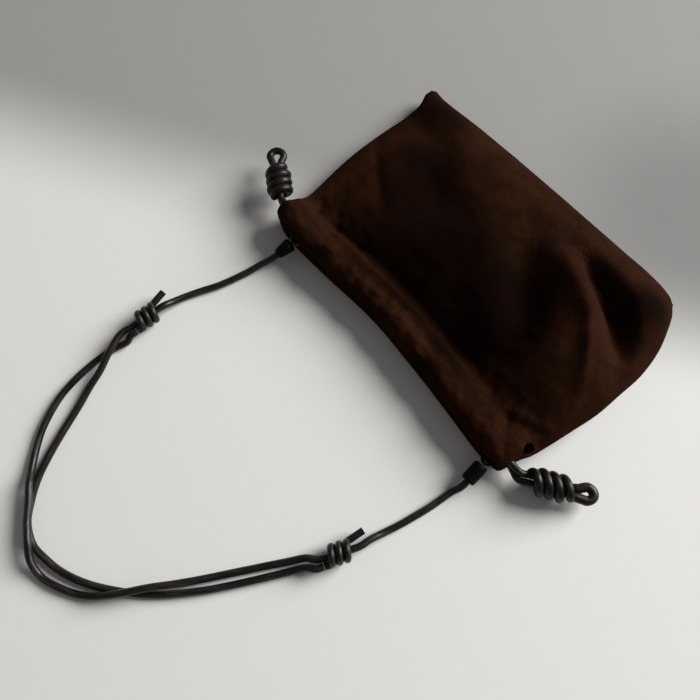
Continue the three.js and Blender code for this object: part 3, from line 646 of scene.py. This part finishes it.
def pattern(tree, coordinates, size, detail=2.0, stretch=(1, 1, 1), roughness=0.5):
    """Noise whose lumps are about size metres across."""
    mapped = add_node(tree, "ShaderNodeMapping", {
        "Vector": coordinates, "Scale": tuple(part / size for part in stretch)})
    return add_node(tree, "ShaderNodeTexNoise", {
        "Vector": mapped.outputs["Vector"], "Scale": 1.0, "Detail": detail,
        "Roughness": roughness}).outputs["Fac"]


def new_material(name):
    material = bpy.data.materials.new(name)
    material.use_nodes = True
    tree = material.node_tree
    tree.nodes.clear()
    shader = add_node(tree, "ShaderNodeBsdfPrincipled")
    out = add_node(tree, "ShaderNodeOutputMaterial", {"Surface": shader.outputs["BSDF"]})
    out.is_active_output = True
    return material, tree, shader


def suede_material():
    """Vegetable-tanned cow suede, brushed: matt, with patches of lighter and darker nap, with
    painted light and shade where the pouch stores them, and a faint bloom at glancing angles."""
    material, tree, shader = new_material("brushed_suede")
    place = add_node(tree, "ShaderNodeTexCoord").outputs["Object"]
    patches = pattern(tree, place, 0.028, detail=3)
    strokes = pattern(tree, place, 0.007, detail=4, stretch=(1, 0.55, 1), roughness=0.6)
    # Real nap is about 0.3 mm long. It is drawn three times as coarse so that it shows.
    nap = pattern(tree, place, 0.0011, detail=2, roughness=0.7)
    raised_nap_and_light_tone, painted_shade_tone = rgba(colours().suede_nap_and_painted_light), rgba(colours().suede_painted_shade)
    tone = tint(tree, rgba(colours().suede), raised_nap_and_light_tone, patches, 0.36, 0.64, 0.75)
    tone = tint(tree, tone, raised_nap_and_light_tone, strokes, 0.40, 0.72, 0.45)
    # Painted light and shade stored on the pouch: lighter toward the raised-nap colour, darker
    # toward the painted-shade colour
    painted_light_and_shade = add_node(tree, "ShaderNodeAttribute", attribute_name="painted_shade").outputs["Fac"]
    tone = tint(tree, tone, raised_nap_and_light_tone, painted_light_and_shade, 0, 1, 0.7)
    tone = tint(tree, tone, painted_shade_tone, painted_light_and_shade, 0, -1.6)
    tone = tint(tree, tone, rgba(colours().suede, 0.4), nap, 0.35, 0.65, 0.45)
    tree.links.new(tone, shader.inputs["Base Color"])
    shader.inputs["Roughness"].default_value = 0.92
    shader.inputs["IOR"].default_value = 1.4
    shader.inputs["Specular IOR Level"].default_value = 0.03
    shader.inputs["Sheen Weight"].default_value = 0.02
    shader.inputs["Sheen Roughness"].default_value = 0.5
    shader.inputs["Sheen Tint"].default_value = (*linear("#7a4428"), 1)
    soft = add_node(tree, "ShaderNodeBump", {
        "Height": strokes, "Strength": 0.5, "Distance": 0.0006})
    fine = add_node(tree, "ShaderNodeBump", {
        "Height": nap, "Strength": 0.6, "Distance": 0.00025, "Normal": soft.outputs["Normal"]})
    tree.links.new(fine.outputs["Normal"], shader.inputs["Normal"])
    return material


def cord_material(name, dark, worn, wear, gloss=0.4, coordinates="cord_grain"):
    """Round cord of waxed leather: cut from hide, dyed near black and pulled through a die, so
    it is satin, with fine scuffs and pale streaks along its length."""
    material, tree, shader = new_material(name)
    if coordinates == "cord_grain":
        grain = add_node(tree, "ShaderNodeAttribute", attribute_name=coordinates).outputs["Vector"]
    else:
        grain = add_node(tree, "ShaderNodeTexCoord").outputs[coordinates]
    streaks = pattern(tree, grain, 0.0010, detail=3, stretch=(1, 1, 0.05), roughness=0.65)
    scuffs = pattern(tree, grain, 0.0040, detail=4, stretch=(1, 1, 0.5), roughness=0.65)
    tone = tint(tree, rgba(dark), rgba(worn), streaks, 0.45, 0.72, wear)
    tone = tint(tree, tone, rgba(worn), scuffs, 0.5, 0.8, 0.5 * wear)
    tree.links.new(tone, shader.inputs["Base Color"])
    polish(tree, shader, scuffs, 0.28, 0.46)
    shader.inputs["IOR"].default_value = 1.48
    shader.inputs["Specular IOR Level"].default_value = gloss
    shader.inputs["Coat Weight"].default_value = 0.15 * gloss
    shader.inputs["Coat Roughness"].default_value = 0.3
    bump = add_node(tree, "ShaderNodeBump", {
        "Height": streaks, "Strength": 0.8, "Distance": 0.0004})
    tree.links.new(bump.outputs["Normal"], shader.inputs["Normal"])
    return material


def metal_material():
    """Steel wire with a gunmetal finish: polished, with wear where the eye rubs."""
    material, tree, shader = new_material("gunmetal_wire")
    place = add_node(tree, "ShaderNodeTexCoord").outputs["Object"]
    wear = pattern(tree, place, 0.0025, detail=3)
    tone = tint(tree, rgba(colours().metal), rgba(linear("#8d857b")), wear, 0.45, 0.75)
    tree.links.new(tone, shader.inputs["Base Color"])
    polish(tree, shader, wear, 0.16, 0.34)
    shader.inputs["Metallic"].default_value = 1.0
    return material


def floor_material():
    """Matt studio paper, plain, with painted shade towards its far end and past the bag's base."""
    material, tree, shader = new_material("studio_paper")
    place = add_node(tree, "ShaderNodeTexCoord").outputs["Object"]
    grain = pattern(tree, place, 0.004, detail=2)
    floor = colours().floor
    tone = tint(tree, rgba(floor), rgba(floor, 0.8), grain, 0.3, 0.7, 0.04)
    # Painted shade: the far end of the paper is darkened as if it curved up and away from the
    # light
    painted_falloff = add_node(tree, "ShaderNodeVectorMath", {0: place, 1: (-0.5, 0.866, 0)},
                     operation="DOT_PRODUCT").outputs["Value"]
    tone = tint(tree, tone, rgba(floor, 0.42), painted_falloff, -0.05, 0.06)
    # A soft painted shade lies on the paper past the bag's base
    away = add_node(tree, "ShaderNodeVectorMath", {0: place, 1: (0.085, 0.165, 0)},
                    operation="DISTANCE").outputs["Value"]
    tone = tint(tree, tone, rgba(floor, 0.28), away, 0.14, 0.02, 0.8)
    tree.links.new(tone, shader.inputs["Base Color"])
    shader.inputs["Roughness"].default_value = 0.85
    shader.inputs["Specular IOR Level"].default_value = 0.2
    return material


def material(name):
    """The object's materials, each made once."""
    makers = {
        "brushed_suede": suede_material,
        "waxed_drawcord": lambda: cord_material(
            "waxed_drawcord", colours().drawcord, linear("#3c2f29"), 0.4, 0.22),
        "waxed_strap_cord": lambda: cord_material(
            "waxed_strap_cord", colours().strap, colours().strap_wear, 0.6, 0.3),
        "waxed_sleeve": lambda: cord_material(
            "waxed_sleeve", colours().sleeve, colours().strap_wear, 0.15, 0.05, "Object"),
        "gunmetal_wire": metal_material,
        "studio_paper": floor_material,
    }
    return bpy.data.materials.get(name) or makers[name]()


# ---------------------------------------------------------------- meshes

def add_object(name, data, material_name):
    made = bpy.data.objects.new(name, data)
    bpy.context.scene.collection.objects.link(made)
    data.materials.clear()
    data.materials.append(material(material_name))
    return made


def mesh_object(name, points, faces, material_name):
    """A smooth mesh from places in millimetres."""
    mesh = bpy.data.meshes.new(name)
    mesh.from_pydata((np.asarray(points) * MM).tolist(), [], faces)
    mesh.validate()
    mesh.shade_smooth()
    return add_object(name, mesh, material_name)


def cord_tree():
    """Geometry Nodes that turn a line into a round cord. The cord's grain is stored as places
    round the cord and along it, in metres, so that its pattern has no seam."""
    name = "round_cord"
    if name in bpy.data.node_groups:
        return bpy.data.node_groups[name]
    tree = bpy.data.node_groups.new(name, "GeometryNodeTree")
    for socket, kind in (("Geometry", "Geometry"), ("Diameter", "Float"), ("Sides", "Int"),
                         ("Material", "Material")):
        tree.interface.new_socket(socket, in_out="INPUT", socket_type="NodeSocket" + kind)
    tree.interface.new_socket("Geometry", in_out="OUTPUT", socket_type="NodeSocketGeometry")
    given = add_node(tree, "NodeGroupInput").outputs
    half = add_node(tree, "ShaderNodeMath", {0: given["Diameter"], 1: 0.5},
                    operation="MULTIPLY").outputs[0]
    circle = add_node(tree, "GeometryNodeCurvePrimitiveCircle", {
        "Resolution": given["Sides"], "Radius": half})
    line = add_node(tree, "GeometryNodeCaptureAttribute", {"Geometry": given["Geometry"]})
    line.capture_items.new("FLOAT", "Length")
    measure = add_node(tree, "GeometryNodeSplineParameter")
    tree.links.new(measure.outputs["Length"], line.inputs["Length"])
    rim = add_node(tree, "GeometryNodeCaptureAttribute", {
        "Geometry": circle.outputs["Curve"]})
    rim.capture_items.new("VECTOR", "Place")
    tree.links.new(add_node(tree, "GeometryNodeInputPosition").outputs[0], rim.inputs["Place"])
    thickness = add_node(tree, "GeometryNodeInputRadius").outputs[0]
    swept = add_node(tree, "GeometryNodeCurveToMesh", {
        "Curve": line.outputs["Geometry"], "Profile Curve": rim.outputs["Geometry"],
        "Scale": thickness, "Fill Caps": True})
    apart = add_node(tree, "ShaderNodeSeparateXYZ", {"Vector": rim.outputs["Place"]})
    grain = add_node(tree, "ShaderNodeCombineXYZ", {
        "X": apart.outputs["X"], "Y": apart.outputs["Y"], "Z": line.outputs["Length"]})
    stored = add_node(tree, "GeometryNodeStoreNamedAttribute", {
        "Geometry": swept.outputs["Mesh"], "Name": "cord_grain", "Value": grain.outputs[0],
    }, data_type="FLOAT_VECTOR", domain="POINT")
    real = add_node(tree, "GeometryNodeRealizeInstances", {"Geometry": stored.outputs["Geometry"]})
    painted = add_node(tree, "GeometryNodeSetMaterial", {
        "Geometry": real.outputs["Geometry"], "Material": given["Material"]})
    add_node(tree, "NodeGroupOutput", {"Geometry": painted.outputs["Geometry"]})
    return tree


def round_cord(name, line, diameter, material_name, sides=18, radii=None):
    """A round cord along a line of places in millimetres. radii are shares of its radius."""
    curve = bpy.data.curves.new(name + "_line", "CURVE")
    curve.dimensions = "3D"
    spline = curve.splines.new("POLY")
    spline.points.add(len(line) - 1)
    places = np.c_[np.asarray(line) * MM, np.ones(len(line))]
    spline.points.foreach_set("co", places.astype(np.float32).ravel())
    spline.points.foreach_set(
        "radius", np.asarray(np.ones(len(line)) if radii is None else radii, np.float32))
    holder = bpy.data.objects.new(name + "_line", curve)
    bpy.context.scene.collection.objects.link(holder)
    tree = cord_tree()
    modifier = holder.modifiers.new("round_cord", "NODES")
    modifier.node_group = tree
    values = {"Diameter": diameter * MM, "Sides": sides, "Material": material(material_name)}
    for item in tree.interface.items_tree:
        if item.in_out == "INPUT" and item.name in values:
            modifier[item.identifier] = values[item.name]
    graph = bpy.context.evaluated_depsgraph_get()
    mesh = bpy.data.meshes.new_from_object(holder.evaluated_get(graph))
    bpy.data.objects.remove(holder)
    bpy.data.curves.remove(curve)
    mesh.name = name
    mesh.shade_smooth()
    return add_object(name, mesh, material_name)


def finish_piece(piece, slot, *nodes):
    """Puts a piece in the part: it rides on the one body and stands for its CAD nodes."""
    if nodes:
        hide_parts(*nodes)
    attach(piece, "root")
    return piece


def turned(profile, steps, start, along, sideways=None):
    """Places and faces of a closed profile of (radius, distance) turned about an axis."""
    sideways = sideways or left_of(along).normalized()
    upward = along.cross(sideways)
    points, faces = [], []
    for step in range(steps):
        angle = 2 * math.pi * step / steps
        out = sideways * math.cos(angle) + upward * math.sin(angle)
        points += [start + along * distance + out * radius for radius, distance in profile]
    count = len(profile)
    for step in range(steps):
        here, there = step * count, (step + 1) % steps * count
        for index in range(count - 1):
            faces.append((here + index, here + index + 1, there + index + 1, there + index))
    return points, faces


def weld(piece, distance=1e-6):
    """Merges doubled corners and turns the faces outwards."""
    work = bmesh.new()
    work.from_mesh(piece.data)
    bmesh.ops.remove_doubles(work, verts=work.verts, dist=distance)
    bmesh.ops.dissolve_degenerate(work, edges=work.edges, dist=distance)
    bmesh.ops.recalc_face_normals(work, faces=work.faces)
    work.to_mesh(piece.data)
    work.free()


def closed_ring(name, line, middle, wire):
    """A closed wire along a line of places round a middle."""
    points, faces, sides = [], [], 16
    for place in line:
        out = (place - middle).normalized()
        for side in range(sides):
            angle = 2 * math.pi * side / sides
            spoke = out * math.cos(angle) + Vector((0, 0, math.sin(angle)))
            points.append(place + spoke * wire / 2)
    count = len(line)
    for step in range(count):
        for side in range(sides):
            here, there = step * sides, (step + 1) % count * sides
            turn = (side + 1) % sides
            faces.append((here + side, there + side, there + turn, here + turn))
    piece = mesh_object(name, points, faces, "gunmetal_wire")
    weld(piece)
    return piece


def folded_tab(name, middle):
    """A strip folded round the ring's wire, with its two layers sewn together behind it."""
    s = sizes()
    hole = s.ring_wire / MM / 2 + 2 * CLEARANCE
    thick, half_width = 1.0, s.tab_width / MM / 2
    path = [(s.tab_length / MM, 0.5 * thick + 0.1)]
    for angle in math.pi * np.linspace(0.17, 1.83, 25):
        path.append(((hole + thick / 2) * math.cos(angle), (hole + thick / 2) * math.sin(angle)))
    path.append((s.tab_length / MM, -0.5 * thick - 0.1))
    points, faces = [], []
    corners = [(-1, -1), (-1, 1), (1, 1), (1, -1)]
    for index, (along, up) in enumerate(path):
        before, after = path[max(index - 1, 0)], path[min(index + 1, len(path) - 1)]
        run = Vector((after[0] - before[0], after[1] - before[1])).normalized()
        normal = Vector((-run.y, run.x))
        for wide, out in corners:
            shift = normal * out * thick / 2
            points.append(middle + Vector((wide * half_width, along + shift.x, up + shift.y)))
        if index:
            base = 4 * index
            for corner in range(4):
                turn = (corner + 1) % 4
                faces.append((base - 4 + corner, base - 4 + turn, base + turn, base + corner))
    faces += [(3, 2, 1, 0), tuple(4 * (len(path) - 1) + corner for corner in range(4))]
    piece = mesh_object(name, points, faces, "brushed_suede")
    weld(piece)
    return piece


# ---------------------------------------------------------------- operators

# The camera's angles in radians, its distance and the place that it looks at, in millimetres
CAMERA = dict(azimuth=0.8411, elevation=1.2734, away=505.74, aim=(-8.04, -107.03, 0))

# The key light, in metres and watts, and the strength of the light from all round
KEY_LIGHT = dict(place=(1.10, 3.35, 2.02), size=2.6, power=360)
ROOM_LIGHT = 0.165


class BAG_OT_camera(bpy.types.Operator):
    """Sets the camera at the photograph's place and angle"""
    bl_idname = "bag.camera"
    bl_label = "Camera"

    def execute(self, context):
        azimuth, elevation = CAMERA["azimuth"], CAMERA["elevation"]
        away, aim = CAMERA["away"] * MM, Vector(CAMERA["aim"]) * MM
        forward = Vector((-math.sin(azimuth) * math.cos(elevation),
                          math.cos(azimuth) * math.cos(elevation), -math.sin(elevation)))
        right = Vector((math.cos(azimuth), math.sin(azimuth), 0))
        up = right.cross(forward)
        data = bpy.data.cameras.new("camera")
        data.sensor_width = 36
        data.lens = 36
        data.clip_start = 0.01
        data.dof.use_dof = False
        camera = bpy.data.objects.new("camera", data)
        turn = Matrix((right, up, -forward)).transposed()
        camera.matrix_world = Matrix.Translation(aim - forward * away) @ turn.to_4x4()
        context.scene.collection.objects.link(camera)
        context.scene.camera = camera
        return {"FINISHED"}


class BAG_OT_strap(bpy.types.Operator):
    """Lays the strap's two cords with their sliding knots"""
    bl_idname = "bag.strap"
    bl_label = "Strap cords"

    def execute(self, context):
        pouch = Pouch()
        diameter = sizes().strap_cord / MM
        for row in KNOTS:
            name = "strap_knot_" + row["name"]
            line = smooth_line(Knot(row).winding(), 0.8)
            piece = round_cord("wound_" + name, line, diameter, "waxed_strap_cord")
            finish_piece(piece, "cord_leather", name)
        for index, far in ((0, "right"), (1, "left")):
            name = "strap_cord_" + STRAP_ENDS[index]["name"]
            line = smooth_line(strap_points(pouch, index), 1.5)
            piece = round_cord("laid_" + name, line, diameter, "waxed_strap_cord")
            finish_piece(piece, "cord_leather", name)
        return {"FINISHED"}


class BAG_OT_drawcord(bpy.types.Operator):
    """Threads the drawcord through both hems and round its end loops"""
    bl_idname = "bag.drawcord"
    bl_label = "Drawcord"

    def execute(self, context):
        pouch = Pouch()
        line = smooth_line(drawcord_points(pouch), 1.2)
        swell = np.ones(len(line))
        for end in DRAWCORD_ENDS:  # the cord is a little thicker in its loops
            tip = coil_axis(pouch, end)[2] + heading(end["loop_heading"]) * 9
            near = smoothstep(-np.linalg.norm(line - np.array(tip), axis=1), -12, -8)
            swell += end["swell"] * near
        piece = round_cord("threaded_drawcord", line, sizes().drawcord / MM, "waxed_drawcord",
                           radii=swell)
        finish_piece(piece, "drawcord_leather", "drawcord")
        return {"FINISHED"}


class BAG_OT_coils(bpy.types.Operator):
    """Winds the two coil knots round the drawcord's strands"""
    bl_idname = "bag.coils"
    bl_label = "Coil knots"

    def execute(self, context):
        pouch = Pouch()
        s = sizes()
        cord = s.coil_cord / MM
        radius = s.coil_outer / MM / 2 - cord / 2
        for end in DRAWCORD_ENDS:
            start, along, finish = coil_axis(pouch, end)
            sideways, long = left_of(along), (finish - start).length
            upward = along.cross(sideways)
            line = []
            for share in np.linspace(0, 1, 121):
                # The first and the last part of the winding are tucked in under the turns
                tuck = max(0, 1 - min(share, 1 - share) / 0.09)
                out = radius - 2.6 * tuck**2
                angle = 2 * math.pi * s.coil_turns * share
                distance = mix(cord / 2, long - cord / 2, share)
                distance -= end["tilt"] * math.cos(angle)
                line.append(start + along * distance
                            + (sideways * math.cos(angle) + upward * math.sin(angle)) * out)
            name = "coil_knot_" + end["name"]
            piece = round_cord("wound_" + name, smooth_line(line, 0.9), cord, "waxed_drawcord")
            finish_piece(piece, "drawcord_leather", name)
        return {"FINISHED"}


class BAG_OT_sleeves(bpy.types.Operator):
    """Makes the leather sleeves at the strap's ends"""
    bl_idname = "bag.sleeves"
    bl_label = "Sleeves"

    def execute(self, context):
        pouch = Pouch()
        s = sizes()
        bore = s.strap_cord / MM / 2 + 0.1
        for end in STRAP_ENDS:
            _, outward, inner, outer = fitting_places(pouch, end)
            long = (outer - inner).length
            broad, narrow = (s.sleeve_diameter / MM / 2 * end["sleeve"][name]
                             for name in ("broad", "narrow"))
            profile = [(0.0, 0.0)]
            profile += [(mix(broad, narrow, place) * share, long * place) for share, place in (
                (0.50, 0.00), (0.78, 0.02), (0.92, 0.06), (0.99, 0.13), (1.0, 0.25), (1.0, 0.55),
                (1.0, 0.80), (0.98, 0.92), (0.93, 0.98), (0.86, 1.0))]
            profile += [(bore, long), (bore, long - SLEEVE_BORE), (0.0, long - SLEEVE_BORE)]
            points, faces = turned(profile, 40, inner, outward)
            name = "strap_sleeve_" + end["name"]
            piece = mesh_object("leather_" + name, points, faces, "waxed_sleeve")
            weld(piece)
            finish_piece(piece, "cord_leather", name)
        return {"FINISHED"}


class BAG_OT_rings(bpy.types.Operator):
    """Makes the wire rings and the suede tabs that hold them"""
    bl_idname = "bag.rings"
    bl_label = "Rings and tabs"

    def execute(self, context):
        pouch = Pouch()
        s = sizes()
        wire = s.ring_wire / MM
        radius = (s.ring_diameter - s.ring_wire) / MM / 2
        for end in STRAP_ENDS:
            ring, _, _, _ = fitting_places(pouch, end)
            angles = np.linspace(0, 2 * math.pi, 97)[:-1]
            line = [ring + Vector((math.cos(a), math.sin(a), 0)) * radius for a in angles]
            piece = closed_ring("wire_strap_ring_" + end["name"], line, ring, wire)
            finish_piece(piece, "ring_metal", "strap_ring_" + end["name"])
            piece = folded_tab("suede_strap_tab_" + end["name"], ring + Vector((0, radius, 0)))
            finish_piece(piece, "suede", "strap_tab_" + end["name"])
        return {"FINISHED"}


class BAG_OT_pouch(bpy.types.Operator):
    """Lofts the suede pouch with its hem, folds and punched hole"""
    bl_idname = "bag.pouch"
    bl_label = "Pouch"

    def execute(self, context):
        pouch = Pouch()
        columns = sizes().columns
        even = np.linspace(-1, 1, columns + 1)
        across = 0.6 * even + 0.4 * np.sin(math.pi / 2 * even)
        across[0], across[-1] = -1, 1
        # Rows from the base over the top panel to the lip, round it, and back along the inside,
        # each with its place along the pouch and its depth through the wall
        rings = [(along, 0.0) for along in np.r_[
            1, 0.996, 0.99, 0.98, np.linspace(0.97, 0.25, 110), np.linspace(0.245, 0.03, 64)]]
        rings += [(0.022, 0.03), (0.015, 0.08), (0.008, 0.16), (0.003, 0.27), (0.0, 0.40),
                  (0.0, 0.60), (0.003, 0.76), (0.008, 0.88), (0.015, 0.96)]
        rings += [(along, 1.0) for along in np.r_[
            np.linspace(0.03, 0.22, 14), np.linspace(0.26, 0.9, 12), 0.96, pouch.inner_base]]
        points, faces = [], []
        rows = {}
        for side in (1, -1):  # the top and the back panel
            for index, (along, depth) in enumerate(rings):
                at = np.full_like(across, along)
                places = pouch.shell(side, across, at, depth)
                if side > 0 and depth < 1:
                    places[:, 2] += (1 - depth) * self.wrinkles(places, across, at)
                start = len(points)
                points += places.tolist()
                rows[side, index] = np.arange(start, start + columns + 1)
        for side in (1, -1):
            for index in range(1, len(rings)):
                here, before = rows[side, index], rows[side, index - 1]
                quads = np.stack([before[:-1], before[1:], here[1:], here[:-1]], -1)
                faces += (quads if side > 0 else quads[:, ::-1]).tolist()
        piece = mesh_object("suede_pouch", points, faces, "brushed_suede")
        weld(piece, 2e-6)
        self.punch(piece, pouch)
        self.brush(piece.data, pouch)
        finish_piece(piece, "suede", "pouch")
        return {"FINISHED"}

    def punch(self, piece, pouch):
        """Cuts the punched hole through the hem's right corner."""
        x, y = (float(value) for value in pouch.plan(PUNCH["across"], PUNCH["along"]))
        pulled, crosswise = heading(PUNCH["heading"]), heading(PUNCH["heading"] + 90)
        middle = Vector((x, y, 10)) - crosswise * 0.5
        radius, reach = sizes().punched_hole / MM / 2, 30.0
        profile = [(0.0, -reach), (radius, -reach), (radius, reach), (0.0, reach)]
        points, faces = turned(profile, 40, middle, Vector((0, 0, 1)), Vector((1, 0, 0)))
        forth, back = PUNCH["lean"]
        points = [point + pulled * PUNCH["stretch"] * (point - middle).dot(pulled)
                  + (pulled * forth - crosswise * back) * (point.z - PUNCH["level"])
                  for point in points]
        cutter = mesh_object("punch", points, faces, "brushed_suede")
        weld(cutter)
        cut = piece.modifiers.new("punch", "BOOLEAN")
        cut.operation, cut.solver, cut.object = "DIFFERENCE", "MANIFOLD", cutter
        graph = bpy.context.evaluated_depsgraph_get()
        mesh = bpy.data.meshes.new_from_object(piece.evaluated_get(graph))
        piece.modifiers.clear()
        piece.data = mesh
        bpy.data.objects.remove(cutter)
        mesh.shade_smooth()

    def wrinkles(self, places, across, along):
        """Small wrinkles of the suede, in millimetres, none at the edges."""
        edge = rounding(across, 0.9) * rounding(along, 0.93)
        rise = [noise.noise(Vector(place) / 15) + 0.5 * noise.noise(Vector(place) / 6)
                for place in places]
        size = mix(1.5, 0.55, smoothstep(along, 0.16, 0.34))
        return size * np.array(rise) * edge

    def brush(self, mesh, pouch):
        """Stores the painted light and shade at each place."""
        count = len(mesh.vertices)
        places = np.empty(3 * count, np.float32)
        mesh.vertices.foreach_get("co", places)
        x, y = places.reshape(-1, 3)[:, :2].T
        x, y = x / (MM * pouch.half_width), y / (MM * pouch.half_length)
        shade = np.zeros(count, np.float32)
        for row in zip(*(PAINTED_SHADE_ROWS[name] for name in ("x", "y", "size_x", "size_y", "shade"))):
            near = ((x - row[0]) / row[2])**2 + ((y - row[1]) / row[3])**2
            shade += row[4] * np.exp(-near)
        mesh.attributes.new("painted_shade", "FLOAT", "POINT").data.foreach_set("value", shade)


class BAG_OT_stage(bpy.types.Operator):
    """Sets a floor with painted shade and soft studio light"""
    bl_idname = "bag.stage"
    bl_label = "Stage"

    def execute(self, context):
        mesh = bpy.data.meshes.new("floor")
        half = 3.0
        mesh.from_pydata([(-half, -half, 0), (half, -half, 0), (half, half, 0), (-half, half, 0)],
                         [], [(0, 1, 2, 3)])
        add_object("floor", mesh, "studio_paper")
        self.area_light(context, "key_light", **KEY_LIGHT)
        world = bpy.data.worlds.new("studio")
        world.use_nodes = True
        background = world.node_tree.nodes["Background"]
        background.inputs["Color"].default_value = (1, 1, 1, 1)
        background.inputs["Strength"].default_value = ROOM_LIGHT
        context.scene.world = world
        context.scene.view_settings.view_transform = "Standard"
        return {"FINISHED"}

    def area_light(self, context, name, place, size, power):
        light = bpy.data.lights.new(name, "AREA")
        light.shape = "DISK"
        light.size = size
        light.energy = power
        holder = bpy.data.objects.new(name, light)
        holder.location = place
        holder.rotation_euler = (-Vector(place)).to_track_quat("-Z", "Y").to_euler()
        context.scene.collection.objects.link(holder)


OPERATORS = [BAG_OT_camera, BAG_OT_strap, BAG_OT_drawcord, BAG_OT_coils, BAG_OT_sleeves,
             BAG_OT_rings, BAG_OT_pouch, BAG_OT_stage]


class BAG_PT_panel(bpy.types.Panel):
    """Lists the bag's pieces in the sidebar"""
    bl_idname = "BAG_PT_panel"
    bl_label = "Suede shoulder bag"
    bl_space_type = "VIEW_3D"
    bl_region_type = "UI"
    bl_category = "Bag"

    def draw(self, context):
        for operator in OPERATORS:
            self.layout.operator(operator.bl_idname)


CLASSES = [BagSizes, BagColours, BagSettings, *OPERATORS, BAG_PT_panel]


def register():
    for made in CLASSES:
        bpy.utils.register_class(made)
    bpy.types.Scene.bag_settings = PointerProperty(type=BagSettings)


def unregister():
    del bpy.types.Scene.bag_settings
    for made in reversed(CLASSES):
        bpy.utils.unregister_class(made)


def main():
    register()
    for operator in OPERATORS:
        group, name = operator.bl_idname.split(".")
        getattr(getattr(bpy.ops, group), name)()


if __name__ == "__main__":
    main()
